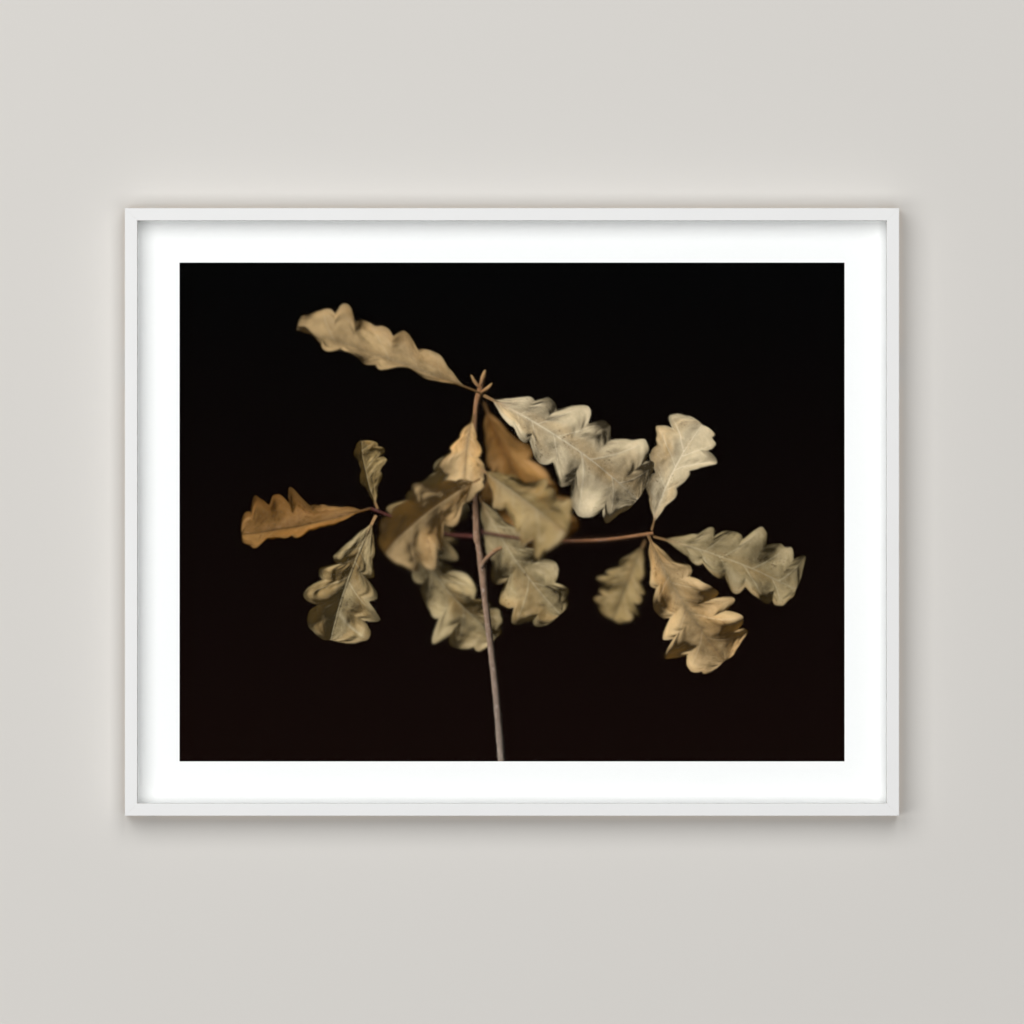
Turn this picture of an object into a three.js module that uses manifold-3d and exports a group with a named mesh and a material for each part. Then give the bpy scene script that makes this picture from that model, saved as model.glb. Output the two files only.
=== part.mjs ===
// A wall-hung box frame with a landscape print behind glass.
// Millimetres, +Z up, X across, the front faces -Y and the wall is the plane Y = 0.
// The origin is the middle of the frame on the wall plane.
import * as THREE from "three";
import { mergeVertices } from "three/addons/utils/BufferGeometryUtils.js";
import Module from "manifold-3d";

const wasm = await Module();
wasm.setup();

// Driving dimensions
const FRAME_WIDTH = 930;
const FRAME_HEIGHT = 730;
const FACE = 15; // width of the moulding seen from the front
const LIP = 4; // how far the moulding's front lip reaches over the glass
const LIP_DEPTH = 5; // thickness of that lip, front to back
const BUMPER_DEPTH = 5;
const MOULDING_DEPTH = 35;
const GLASS = 2;
const SPACER_DEPTH = 18; // air gap between the glass and the print
const PRINT = 0.5;
const HINGE_TAPE = 0.3;
const MOUNT_BOARD = 2;
const BACKING_BOARD = 3;
const FIT = 0.5; // room left round each sheet in the rebate
const GAP = 0.3; // room left round a fastener in its slot or hole
const MITRE_GAP = 0.05; // half of the glue line at each mitre

// Levels along Y, from the front to the wall
const FRONT = -(MOULDING_DEPTH + BUMPER_DEPTH);
const GLASS_FRONT = FRONT + LIP_DEPTH;
const SPACER_FRONT = GLASS_FRONT + GLASS;
const PRINT_FRONT = SPACER_FRONT + SPACER_DEPTH;
const TAPE_FRONT = PRINT_FRONT + PRINT;
const MOUNT_FRONT = TAPE_FRONT + HINGE_TAPE;
const BACKING_FRONT = MOUNT_FRONT + MOUNT_BOARD;
const BACKING_BACK = BACKING_FRONT + BACKING_BOARD;
const RAIL_BACK = -BUMPER_DEPTH;

// Sizes across the frame
const WALL = FACE - LIP; // thickness of the moulding behind its lip
const SIGHT_WIDTH = FRAME_WIDTH - 2 * FACE;
const SIGHT_HEIGHT = FRAME_HEIGHT - 2 * FACE;
const SHEET_WIDTH = FRAME_WIDTH - 2 * (WALL + FIT);
const SHEET_HEIGHT = FRAME_HEIGHT - 2 * (WALL + FIT);

const HINGE_TAPE_SIZE = { width: 60, height: 30, offset: 250, drop: 40 };

// The flexible tabs that hold the backing board
const TAB = { width: 10, length: 22, thickness: 0.5, sunk: 6, pointed: 3, endRadius: 2 };
const TABS_ALONG_WIDTH = 4;
const TABS_ALONG_HEIGHT = 3;

// The V-shaped nails pressed across each mitre from the back
const NAIL = { inset: 4, leg: 6.5, thickness: 0.6, depth: 10, sunk: 0.3 };

const BUMPER = { radius: 4.75, chamfer: 0.8, fromCorner: 30, sides: 32 };

// The hangers: a strap with a loop, a D-ring and two screws each
const STRAP = { width: 9, neck: 5.5, length: 30, thickness: 1, shoulder: 5, endRadius: 4 };
const LOOP = { inner: 1.25, outer: 2.25, sides: 32 };
const RING = { wire: 1, halfBar: 3.1, bend: 1.4, side: 4.5, steps: 56, sides: 10 };
const SCREW = { head: 2.9, headDepth: 1.6, shank: 1.3, length: 11, tip: 3, sides: 24 };
const SCREW_DROPS = [14.5, 23.5]; // below the loop, clear of the ring when it hangs down
const HANGER_DROP = 180; // from the frame's top edge to the loop

// One entry for each edge: its name, its quarter turns about +Y from the top edge, its length,
// its distance from the middle, its tabs, and what its two ends are called
const EDGES = [
  { name: "top", quarters: 0, length: FRAME_WIDTH, reach: FRAME_HEIGHT / 2, tabs: TABS_ALONG_WIDTH },
  { name: "right", quarters: 1, length: FRAME_HEIGHT, reach: FRAME_WIDTH / 2, tabs: TABS_ALONG_HEIGHT },
  { name: "bottom", quarters: 2, length: FRAME_WIDTH, reach: FRAME_HEIGHT / 2, tabs: TABS_ALONG_WIDTH },
  { name: "left", quarters: 3, length: FRAME_HEIGHT, reach: FRAME_WIDTH / 2, tabs: TABS_ALONG_HEIGHT },
];

const paint = (colour, roughness, metalness = 0) =>
  new THREE.MeshStandardMaterial({ color: colour, roughness, metalness });

const MATERIALS = {
  whitePaint: paint(0xeeeeee, 0.45),
  glass: new THREE.MeshStandardMaterial({ color: 0xffffff, roughness: 0.02, transparent: true, opacity: 0.12 }),
  whiteCard: paint(0xfafafa, 0.7),
  paper: paint(0xffffff, 0.85),
  linen: paint(0xf2eee2, 0.9),
  board: paint(0xf4f2ec, 0.9),
  hardboard: paint(0x8a6440, 0.6),
  springSteel: paint(0x6d7074, 0.35, 1),
  zinc: paint(0xb9bcc0, 0.3, 1),
  rubber: paint(0xe6e6e2, 0.7),
};

// A geometry as a manifold-3d solid.
function solidOf(geometry) {
  const bare = geometry.clone();
  bare.deleteAttribute("normal");
  bare.deleteAttribute("uv");
  const merged = mergeVertices(bare, 1e-4);
  return new wasm.Manifold(
    new wasm.Mesh({
      numProp: 3,
      vertProperties: merged.attributes.position.array,
      triVerts: new Uint32Array(merged.index.array),
    }),
  );
}

// A manifold-3d solid as a geometry.
function geometryOf(solid) {
  const mesh = solid.getMesh();
  const geometry = new THREE.BufferGeometry();
  geometry.setAttribute("position", new THREE.BufferAttribute(new Float32Array(mesh.vertProperties), 3));
  geometry.setIndex(new THREE.BufferAttribute(new Uint32Array(mesh.triVerts), 1));
  geometry.computeVertexNormals();
  return geometry;
}

function cut(geometry, tools) {
  return geometryOf(tools.reduce((left, tool) => left.subtract(solidOf(tool)), solidOf(geometry)));
}

function join(geometries) {
  return geometryOf(geometries.map(solidOf).reduce((whole, next) => whole.add(next)));
}

function named(name, geometry, material) {
  const mesh = new THREE.Mesh(geometry, material);
  mesh.name = name;
  return mesh;
}

// A box between two corners.
function block([x0, y0, z0], [x1, y1, z1]) {
  return new THREE.BoxGeometry(x1 - x0, y1 - y0, z1 - z0).translate((x0 + x1) / 2, (y0 + y1) / 2, (z0 + z1) / 2);
}

// A flat outline in X and Z, given thickness from one level of Y to another.
function plate(shape, front, back) {
  return new THREE.ExtrudeGeometry(shape, { depth: back - front, bevelEnabled: false, curveSegments: 8 })
    .rotateX(Math.PI / 2)
    .translate(0, back, 0);
}

// A sheet centred on the frame.
function sheet(width, height, front, thickness) {
  return block([-width / 2, front, -height / 2], [width / 2, front + thickness, height / 2]);
}

// The rebated moulding of one edge, as the top edge: each corner of its section runs to the mitre.
function mouldingGeometry({ length, reach }) {
  const section = new THREE.Shape([
    new THREE.Vector2(0, FRONT),
    new THREE.Vector2(FACE, FRONT),
    new THREE.Vector2(FACE, GLASS_FRONT),
    new THREE.Vector2(WALL, GLASS_FRONT),
    new THREE.Vector2(WALL, RAIL_BACK),
    new THREE.Vector2(0, RAIL_BACK),
  ]);
  const geometry = new THREE.ExtrudeGeometry(section, { depth: length, bevelEnabled: false });
  const position = geometry.attributes.position;
  for (let i = 0; i < position.count; i++) {
    const inset = position.getX(i);
    const end = position.getZ(i) > length / 2 ? 1 : -1;
    position.setXYZ(i, end * (length / 2 - inset - MITRE_GAP), position.getY(i), reach - inset);
  }
  return geometry;
}

// Where an edge's tabs stand along it: evenly spaced, half a space in from each end.
function tabPlaces({ length, tabs }) {
  const step = (length - 2 * FACE) / tabs;
  return Array.from({ length: tabs }, (_, i) => (i - (tabs - 1) / 2) * step);
}

// A tab's outline, grown by `room` all round for the slot it is driven into.
function tabShape(x, reach, room) {
  const half = TAB.width / 2 + room;
  const tip = reach - WALL + TAB.sunk + room;
  const end = tip - TAB.length - 2 * room;
  const shape = new THREE.Shape();
  shape.moveTo(x - half, tip - TAB.pointed);
  shape.lineTo(x - half, end + TAB.endRadius);
  shape.absarc(x - half + TAB.endRadius, end + TAB.endRadius, TAB.endRadius, Math.PI, 1.5 * Math.PI);
  shape.absarc(x + half - TAB.endRadius, end + TAB.endRadius, TAB.endRadius, 1.5 * Math.PI, 2 * Math.PI);
  shape.lineTo(x + half, tip - TAB.pointed);
  shape.lineTo(x, tip);
  shape.closePath();
  return shape;
}

// A V-nail's outline at one end of an edge: two legs along the two rails from a corner on the mitre.
function nailShape({ length, reach }, end, room) {
  const half = NAIL.thickness / 2 + room;
  const leg = NAIL.leg + room;
  const x = end * (length / 2 - NAIL.inset);
  const z = reach - NAIL.inset;
  const corners = [
    [half, half],
    [-leg, half],
    [-leg, -half],
    [-half, -half],
    [-half, -leg],
    [half, -leg],
  ].map(([along, up]) => new THREE.Vector2(x + end * along, z + up));
  return new THREE.Shape(end > 0 ? corners : corners.reverse());
}

function rod(radius, front, back, x, z, sides) {
  return new THREE.CylinderGeometry(radius, radius, back - front, sides).translate(x, (front + back) / 2, z);
}

function moulding(edge) {
  const slots = tabPlaces(edge).map((x) =>
    plate(tabShape(x, edge.reach, GAP), BACKING_BACK - GAP, BACKING_BACK + TAB.thickness + GAP),
  );
  const nails = [-1, 1].map((end) =>
    plate(nailShape(edge, end, GAP), RAIL_BACK - NAIL.sunk - NAIL.depth - GAP, RAIL_BACK + 1),
  );
  const holes = edge.reach > edge.length / 2 ? screwHoles(edge) : [];
  return named(`rail_${edge.name}`, cut(mouldingGeometry(edge), [...slots, ...nails, ...holes]), MATERIALS.whitePaint);
}

// The holes for a hanger's screws in an upright edge. Up is along its -X on the right and +X on the left.
function screwHoles(edge) {
  const up = edge.name === "left" ? 1 : -1;
  return SCREW_DROPS.map((drop) => {
    const along = up * (FRAME_HEIGHT / 2 - HANGER_DROP - drop);
    const middle = edge.reach - WALL / 2;
    return rod(SCREW.shank + GAP, RAIL_BACK - SCREW.length, RAIL_BACK + 1, along, middle, SCREW.sides);
  });
}

function tabsOf(edge) {
  return tabPlaces(edge).map((x, i) =>
    named(
      `tab_${edge.name}_${i + 1}`,
      plate(tabShape(x, edge.reach, 0), BACKING_BACK, BACKING_BACK + TAB.thickness),
      MATERIALS.springSteel,
    ),
  );
}

// The edge's own group: built as the top edge and turned about +Y into place.
function edgeGroup(edge) {
  const group = new THREE.Group();
  group.add(moulding(edge), ...tabsOf(edge));
  group.rotation.y = (edge.quarters * Math.PI) / 2;
  return group;
}

// The nails of the top and bottom edges: with the two turned by half a turn, all four corners have one.
function nailGroup(edge, namesByEnd) {
  const group = new THREE.Group();
  for (const [name, end] of namesByEnd) {
    const front = RAIL_BACK - NAIL.sunk - NAIL.depth;
    group.add(named(name, plate(nailShape(edge, end, 0), front, front + NAIL.depth), MATERIALS.springSteel));
  }
  group.rotation.y = (edge.quarters * Math.PI) / 2;
  return group;
}

function glass() {
  return named("glass", sheet(SHEET_WIDTH, SHEET_HEIGHT, GLASS_FRONT, GLASS), MATERIALS.glass);
}

// The fillets that hold the print away from the glass: two full-width ones, and two between them.
function spacers() {
  const thickness = LIP - FIT;
  const level = SIGHT_HEIGHT / 2;
  const side = SIGHT_WIDTH / 2;
  const back = SPACER_FRONT + SPACER_DEPTH;
  const across = (name, z0) =>
    named(
      name,
      block([-SHEET_WIDTH / 2, SPACER_FRONT, z0], [SHEET_WIDTH / 2, back, z0 + thickness]),
      MATERIALS.whiteCard,
    );
  const upright = (name, x0) =>
    named(
      name,
      block([x0, SPACER_FRONT, -level + GAP], [x0 + thickness, back, level - GAP]),
      MATERIALS.whiteCard,
    );
  return [
    across("spacer_top", level),
    across("spacer_bottom", -level - thickness),
    upright("spacer_right", side),
    upright("spacer_left", -side - thickness),
  ];
}

function print() {
  return named("print", sheet(SHEET_WIDTH, SHEET_HEIGHT, PRINT_FRONT, PRINT), MATERIALS.paper);
}

function hingeTapes() {
  const { width, height, offset, drop } = HINGE_TAPE_SIZE;
  const top = SHEET_HEIGHT / 2 - drop + height;
  return [
    ["hinge_tape_left", -offset],
    ["hinge_tape_right", offset],
  ].map(([name, x]) =>
    named(
      name,
      block([x - width / 2, TAPE_FRONT, top - height], [x + width / 2, MOUNT_FRONT, top]),
      MATERIALS.linen,
    ),
  );
}

function mountBoard() {
  return named("mount_board", sheet(SHEET_WIDTH, SHEET_HEIGHT, MOUNT_FRONT, MOUNT_BOARD), MATERIALS.board);
}

function backingBoard() {
  return named("backing_board", sheet(SHEET_WIDTH, SHEET_HEIGHT, BACKING_FRONT, BACKING_BOARD), MATERIALS.hardboard);
}

// A pad on the back of a horizontal rail, with its back face on the wall plane.
function bumper(name, sideX, sideZ) {
  const { radius, chamfer, fromCorner, sides } = BUMPER;
  const profile = [
    [0, RAIL_BACK],
    [radius, RAIL_BACK],
    [radius, -chamfer],
    [radius - chamfer, 0],
    [0, 0],
  ].map(([r, y]) => new THREE.Vector2(r, y));
  const mesh = named(name, new THREE.LatheGeometry(profile, sides), MATERIALS.rubber);
  mesh.position.set(sideX * (FRAME_WIDTH / 2 - fromCorner), 0, sideZ * (FRAME_HEIGHT / 2 - WALL / 2));
  return mesh;
}

// A strap, with its loop's axis along X at the group's origin and its back on the rail.
function strap(name) {
  const { width, neck, length, thickness, shoulder, endRadius } = STRAP;
  const shape = new THREE.Shape();
  shape.moveTo(-neck / 2, 0);
  shape.lineTo(-neck / 2, -LOOP.outer);
  shape.lineTo(-width / 2, -LOOP.outer - shoulder / 2);
  shape.lineTo(-width / 2, -length + endRadius);
  shape.absarc(-width / 2 + endRadius, -length + endRadius, endRadius, Math.PI, 1.5 * Math.PI);
  shape.absarc(width / 2 - endRadius, -length + endRadius, endRadius, 1.5 * Math.PI, 2 * Math.PI);
  shape.lineTo(width / 2, -LOOP.outer - shoulder / 2);
  shape.lineTo(neck / 2, -LOOP.outer);
  shape.lineTo(neck / 2, 0);
  shape.closePath();
  const body = plate(shape, -LOOP.outer, -LOOP.outer + thickness);
  const tube = new THREE.CylinderGeometry(LOOP.outer, LOOP.outer, neck, LOOP.sides).rotateZ(Math.PI / 2);
  const bore = new THREE.CylinderGeometry(LOOP.inner, LOOP.inner, 2 * neck, LOOP.sides).rotateZ(Math.PI / 2);
  const holes = SCREW_DROPS.map((drop) =>
    rod(SCREW.shank + GAP, -LOOP.outer - 1, -LOOP.outer + thickness + 1, 0, -drop, SCREW.sides),
  );
  return named(name, cut(join([body, tube]), [bore, ...holes]), MATERIALS.zinc);
}

// The D-ring's centre line, its bar on the loop's axis and the ring standing up from it.
function ringPath() {
  const { halfBar, bend, side } = RING;
  const reach = halfBar + bend;
  const outline = new THREE.Path();
  outline.moveTo(0, 0);
  outline.lineTo(halfBar, 0);
  outline.absarc(halfBar, bend, bend, -Math.PI / 2, 0);
  outline.lineTo(reach, side);
  outline.absarc(0, side, reach, 0, Math.PI);
  outline.lineTo(-reach, bend);
  outline.absarc(-halfBar, bend, bend, Math.PI, 1.5 * Math.PI);
  outline.lineTo(0, 0);
  const points = outline.getSpacedPoints(RING.steps).slice(0, -1);
  return new THREE.CatmullRomCurve3(
    points.map(({ x, y }) => new THREE.Vector3(x, 0, y)),
    true,
    "centripetal",
  );
}

function ring(name) {
  const geometry = new THREE.TubeGeometry(ringPath(), RING.steps, RING.wire, RING.sides, true);
  return named(name, geometry, MATERIALS.zinc);
}

// A pan-head screw along Y, its head's underside on the strap.
function screw(name, drop) {
  const { head, headDepth, shank, length, tip, sides } = SCREW;
  const seat = -LOOP.outer + STRAP.thickness;
  const profile = [
    [0, seat - length],
    [shank, seat - length + tip],
    [shank, seat],
    [head, seat],
    [head, seat + headDepth * 0.4],
    [head * 0.8, seat + headDepth * 0.85],
    [head * 0.4, seat + headDepth],
    [0, seat + headDepth],
  ].map(([r, y]) => new THREE.Vector2(r, y));
  const mesh = named(name, new THREE.LatheGeometry(profile, sides), MATERIALS.zinc);
  mesh.position.z = -drop;
  return mesh;
}

function hanger(side, sideX) {
  const group = new THREE.Group();
  group.add(strap(`strap_${side}`), ring(`ring_${side}`));
  SCREW_DROPS.forEach((drop, i) => group.add(screw(`screw_${side}_${i + 1}`, drop)));
  group.position.set(
    sideX * (FRAME_WIDTH / 2 - WALL / 2),
    RAIL_BACK + LOOP.outer,
    FRAME_HEIGHT / 2 - HANGER_DROP,
  );
  return group;
}

const root = new THREE.Group();
root.add(...EDGES.map(edgeGroup));
root.add(
  nailGroup(EDGES[0], [
    ["nail_top_left", -1],
    ["nail_top_right", 1],
  ]),
  nailGroup(EDGES[2], [
    ["nail_bottom_right", -1],
    ["nail_bottom_left", 1],
  ]),
);
root.add(glass(), ...spacers(), print(), ...hingeTapes(), mountBoard(), backingBoard());
root.add(
  bumper("bumper_top_left", -1, 1),
  bumper("bumper_top_right", 1, 1),
  bumper("bumper_bottom_left", -1, -1),
  bumper("bumper_bottom_right", 1, -1),
);
root.add(hanger("left", -1), hanger("right", 1));

export default root;
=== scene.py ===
"""A white box frame, hung on a wall, with a print of a dried oak sprig behind clear glass.

Metres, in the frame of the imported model: X across, the front faces -Y, +Z up, and the wall is
the plane Y = 0. The still life on the print is painted by formula in millimetres of the picture,
and its colours are laid on the print's own mesh.
"""

import logging
import math
from collections.abc import Sequence
from dataclasses import dataclass, field
from enum import Enum

import bmesh
import bpy
import numpy as np
from mathutils import Matrix, Vector
from mathutils.geometry import delaunay_2d_cdt
from numpy.typing import NDArray


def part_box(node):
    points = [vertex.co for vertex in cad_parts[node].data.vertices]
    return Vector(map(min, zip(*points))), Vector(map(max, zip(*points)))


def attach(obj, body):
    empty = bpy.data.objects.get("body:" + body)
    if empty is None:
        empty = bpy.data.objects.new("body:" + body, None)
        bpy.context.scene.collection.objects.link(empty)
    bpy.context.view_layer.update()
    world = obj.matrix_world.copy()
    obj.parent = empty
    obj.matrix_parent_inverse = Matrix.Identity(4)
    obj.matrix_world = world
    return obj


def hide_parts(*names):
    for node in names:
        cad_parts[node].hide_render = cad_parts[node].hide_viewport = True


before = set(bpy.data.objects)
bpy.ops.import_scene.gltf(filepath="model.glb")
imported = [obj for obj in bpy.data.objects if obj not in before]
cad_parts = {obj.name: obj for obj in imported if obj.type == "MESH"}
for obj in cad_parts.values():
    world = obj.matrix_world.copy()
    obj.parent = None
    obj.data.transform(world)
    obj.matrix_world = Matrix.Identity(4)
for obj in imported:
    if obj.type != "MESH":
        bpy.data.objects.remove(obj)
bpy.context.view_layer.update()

log = logging.getLogger("box_frame")

Array = NDArray[np.float32]
Colour = tuple[float, float, float]
Slices = tuple[slice, slice]
Socket = bpy.types.NodeSocket

MM = 0.001
ROOT = "root"
FACING_FRONT = Matrix.Rotation(math.pi / 2, 4, "X")
FACING_WALL = Matrix.Rotation(-math.pi / 2, 4, "X")
SAME_POINT = 1e-5


# -------------------- shared helpers


class Edge(Enum):
    """One edge of the frame, by its quarter turns about +Y from the top edge."""

    TOP = 0
    RIGHT = 1
    BOTTOM = 2
    LEFT = 3

    @property
    def label(self) -> str:
        """The edge's name as the nodes have it."""
        return self.name.lower()

    @property
    def turn(self) -> Matrix:
        """The turn that brings something built for the top edge to this edge."""
        return Matrix.Rotation(self.value * math.pi / 2, 4, "Y")

    @property
    def upright(self) -> bool:
        """True for the two sides."""
        return self in (Edge.RIGHT, Edge.LEFT)


def centre_of(node: str) -> Vector:
    """The middle of a node's box, at rest."""
    low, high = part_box(node)
    return (low + high) / 2


def at_corners(kind: str) -> list[str]:
    """The nodes of a kind that has one at each corner of the frame."""
    return [f"{kind}_{up}_{side}" for up in ("top", "bottom") for side in ("left", "right")]


class Graph:
    """A shader or geometry tree that is being filled with linked nodes."""

    def __init__(self, tree: bpy.types.NodeTree) -> None:
        """Start with an empty tree."""
        self.tree = tree
        tree.nodes.clear()

    def add(self, kind: str, feeds: dict | None = None, **settings: object) -> bpy.types.Node:
        """Add one node.

        Args:
            kind: The node's type name.
            feeds: What goes into its inputs, by name or number: a socket or a plain value.
            settings: Its own settings.

        Returns:
            The node.
        """
        node = self.tree.nodes.new(kind)
        for key, value in settings.items():
            setattr(node, key, value)
        for key, value in (feeds or {}).items():
            if isinstance(value, bpy.types.NodeSocket):
                self.tree.links.new(value, node.inputs[key])
            else:
                node.inputs[key].default_value = value
        return node

    def math(self, operation: str, *values: Socket | float) -> Socket:
        """A Math node's result."""
        return self.add("ShaderNodeMath", dict(enumerate(values)), operation=operation).outputs[0]

    def ramp(self, value: Socket, low: float, high: float, to: tuple[float, float] = (0, 1)) -> Socket:
        """A value mapped from one range to another, smoothly, and held inside it."""
        feeds = {"Value": value, "From Min": low, "From Max": high, "To Min": to[0], "To Max": to[1]}
        return self.add("ShaderNodeMapRange", feeds, interpolation_type="SMOOTHSTEP").outputs[0]

    def mixed(self, share: Socket | float, a: Socket | Colour, b: Socket | Colour) -> Socket:
        """Two colours mixed."""
        feeds = {0: share, 6: with_alpha(a), 7: with_alpha(b)}
        return self.add("ShaderNodeMix", feeds, data_type="RGBA").outputs[2]

    def blended(self, share: Socket | float, a: Socket | float, b: Socket | float) -> Socket:
        """Two numbers mixed."""
        return self.add("ShaderNodeMix", {0: share, 2: a, 3: b}, data_type="FLOAT").outputs[0]

    def noise(self, place: Socket, scale: float, detail: float = 3.0, rough: float = 0.55) -> Socket:
        """Noise from 0 to 1, its scale in waves to the metre of `place`."""
        feeds = {"Vector": place, "Scale": scale, "Detail": detail, "Roughness": rough}
        return self.add("ShaderNodeTexNoise", feeds).outputs[0]

    def vector(self, x: Socket, y: Socket, z: Socket) -> Socket:
        """A vector from its three parts."""
        return self.add("ShaderNodeCombineXYZ", {0: x, 1: y, 2: z}).outputs[0]

    def stretched(self, place: Socket, scale: Sequence[float]) -> Socket:
        """Coordinates stretched along the axes."""
        return self.add("ShaderNodeMapping", {"Vector": place, "Scale": tuple(scale)}).outputs[0]


def with_alpha(value: Socket | Sequence[float]) -> Socket | tuple[float, ...]:
    """A plain colour as the four numbers that a colour socket takes."""
    return value if isinstance(value, bpy.types.NodeSocket) else (*value, 1.0)


# -------------------- finishes


def blank_material(label: str) -> tuple[bpy.types.Material, Graph, Socket]:
    """A new material, its empty graph, and the place on the object as a socket in it.

    Args:
        label: The material's name.

    Returns:
        The material, its graph and the socket.
    """
    made = bpy.data.materials.new(label)
    made.use_nodes = True
    graph = Graph(made.node_tree)
    return made, graph, graph.add("ShaderNodeTexCoord").outputs["Object"]


@dataclass
class Surface:
    """What a finish feeds to its shader: sockets where it varies, plain values where it doesn't."""

    colour: Socket | Colour
    roughness: Socket | float
    height: Socket | None = None
    plain: dict[str, float] = field(default_factory=dict)


@dataclass(frozen=True)
class Finish:
    """A finish of one kind of surface. `relief` is the height of its texture in metres."""

    label: str
    slot: str
    relief: float

    def surface(self, graph: Graph, place: Socket) -> Surface:
        """The finish itself, for each kind to say.

        Args:
            graph: The material's graph, which is filled.
            place: The place on the object, in metres.

        Returns:
            What goes into the shader.
        """
        raise NotImplementedError

    def material(self) -> bpy.types.Material:
        """The finish as a material, made once and shared.

        Returns:
            The material.
        """
        found = bpy.data.materials.get(self.label)
        if found:
            return found
        made, graph, place = blank_material(self.label)
        surface = self.surface(graph, place)
        feeds = {"Base Color": with_alpha(surface.colour), "Roughness": surface.roughness, **surface.plain}
        if surface.height is not None:
            bump = graph.add("ShaderNodeBump", {"Height": surface.height, "Distance": self.relief})
            feeds["Normal"] = bump.outputs[0]
        shader = graph.add("ShaderNodeBsdfPrincipled", feeds)
        graph.add("ShaderNodeOutputMaterial", {"Surface": shader.outputs[0]})
        return made


@dataclass(frozen=True)
class PaintedWood(Finish):
    """Sprayed satin paint over a fine-grained wood, left bare where `bare` is painted on the mesh."""

    grain: tuple[float, float, float] = (6.0, 110.0, 110.0)
    paint: Colour = (0.760, 0.760, 0.755)
    shade: Colour = (0.735, 0.735, 0.728)
    wood: Colour = (0.56, 0.39, 0.22)
    dark_wood: Colour = (0.33, 0.195, 0.085)

    def surface(self, graph: Graph, place: Socket) -> Surface:
        """Paint and wood, with a ragged overspray line between them."""
        along = graph.stretched(place, self.grain)
        fibres = graph.noise(along, 7.0, 6.0, 0.7)
        rings = graph.noise(graph.stretched(place, [s * 0.16 for s in self.grain]), 5.0, 2.0)
        peel = graph.noise(place, 900.0, 2.0)
        cloud = graph.noise(place, 14.0, 3.0)
        mask = graph.add("ShaderNodeAttribute", attribute_name="bare").outputs["Fac"]
        ragged = graph.math("MULTIPLY_ADD", graph.noise(place, 420.0, 3.0), 0.7, mask)
        bare = graph.ramp(ragged, 0.72, 0.98)
        paint = graph.mixed(cloud, self.paint, self.shade)
        streaks = graph.math("MULTIPLY", graph.ramp(fibres, 0.35, 0.75), graph.ramp(rings, 0.3, 0.8))
        wood = graph.mixed(streaks, self.wood, self.dark_wood)
        painted_height = graph.math("MULTIPLY_ADD", fibres, 0.22, graph.math("MULTIPLY", peel, 0.16))
        return Surface(
            graph.mixed(bare, paint, wood),
            graph.blended(bare, graph.ramp(cloud, 0.2, 0.8, (0.40, 0.50)), 0.82),
            graph.blended(bare, painted_height, fibres),
            {"Specular IOR Level": 0.42},
        )


@dataclass(frozen=True)
class WhiteCard(Finish):
    """Smooth white card with the fibres of its pulp just showing."""

    colour: Colour = (0.70, 0.70, 0.69)
    fibre: Colour = (0.64, 0.64, 0.63)

    def surface(self, graph: Graph, place: Socket) -> Surface:
        """Pulp fibres in two directions."""
        across = graph.noise(graph.stretched(place, (160.0, 900.0, 900.0)), 1.0, 4.0, 0.65)
        down = graph.noise(graph.stretched(place, (900.0, 900.0, 160.0)), 1.0, 4.0, 0.65)
        fibres = graph.math("MAXIMUM", across, down)
        return Surface(
            graph.mixed(graph.ramp(fibres, 0.5, 0.8), self.colour, self.fibre),
            graph.ramp(fibres, 0.3, 0.8, (0.66, 0.86)),
            fibres,
            {"Specular IOR Level": 0.3},
        )


@dataclass(frozen=True)
class PrintedPaper(Finish):
    """Matt art paper with the picture's inks in it."""

    attribute: str = "picture"
    white: float = 0.90

    def surface(self, graph: Graph, place: Socket) -> Surface:
        """The picture's colours, with the paper's tooth and the inks' slight gloss."""
        inks = graph.add("ShaderNodeAttribute", attribute_name=self.attribute).outputs["Color"]
        tooth = graph.noise(place, 1600.0, 3.0, 0.7)
        pulp = graph.noise(graph.stretched(place, (300.0, 300.0, 1100.0)), 1.0, 3.0)
        flecks = graph.ramp(pulp, 0.35, 0.75, (self.white, self.white * 0.985))
        scaled = graph.add("ShaderNodeVectorMath", {0: inks, 3: flecks}, operation="SCALE").outputs[0]
        light = graph.add("ShaderNodeRGBToBW", {0: inks}).outputs[0]
        return Surface(
            scaled,
            graph.ramp(light, 0.0, 0.95, (0.58, 0.88)),
            graph.math("MULTIPLY_ADD", pulp, 0.4, tooth),
            {"Specular IOR Level": 0.012},
        )


@dataclass(frozen=True)
class LinenTape(Finish):
    """Gummed linen tape: an open plain weave."""

    colour: Colour = (0.80, 0.76, 0.66)
    gap: Colour = (0.52, 0.47, 0.37)
    threads: float = 1500.0

    def surface(self, graph: Graph, place: Socket) -> Surface:
        """Two sets of threads that cross."""
        parts = graph.add("ShaderNodeSeparateXYZ", {0: place}).outputs
        warp = graph.math("SINE", graph.math("MULTIPLY", parts[0], self.threads * math.tau / 2))
        weft = graph.math("SINE", graph.math("MULTIPLY", parts[2], self.threads * math.tau / 2))
        weave = graph.math("MAXIMUM", graph.math("ABSOLUTE", warp), graph.math("ABSOLUTE", weft))
        slub = graph.math("MULTIPLY", weave, graph.ramp(graph.noise(place, 260.0), 0.2, 0.8, (0.7, 1.0)))
        return Surface(graph.mixed(slub, self.gap, self.colour), 0.9, slub, {"Sheen Weight": 0.15})


@dataclass(frozen=True)
class MuseumBoard(Finish):
    """Cotton mount board, off-white, with faint fibres and a slight mottle."""

    colour: Colour = (0.84, 0.82, 0.77)
    mottle: Colour = (0.78, 0.755, 0.70)

    def surface(self, graph: Graph, place: Socket) -> Surface:
        """A cloudy sheet with a felt-like surface."""
        cloud = graph.noise(place, 60.0, 5.0, 0.6)
        felt = graph.noise(place, 1300.0, 4.0, 0.7)
        return Surface(
            graph.mixed(graph.ramp(cloud, 0.3, 0.75), self.colour, self.mottle),
            graph.ramp(felt, 0.2, 0.8, (0.82, 0.95)),
            felt,
            {"Specular IOR Level": 0.2},
        )


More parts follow.
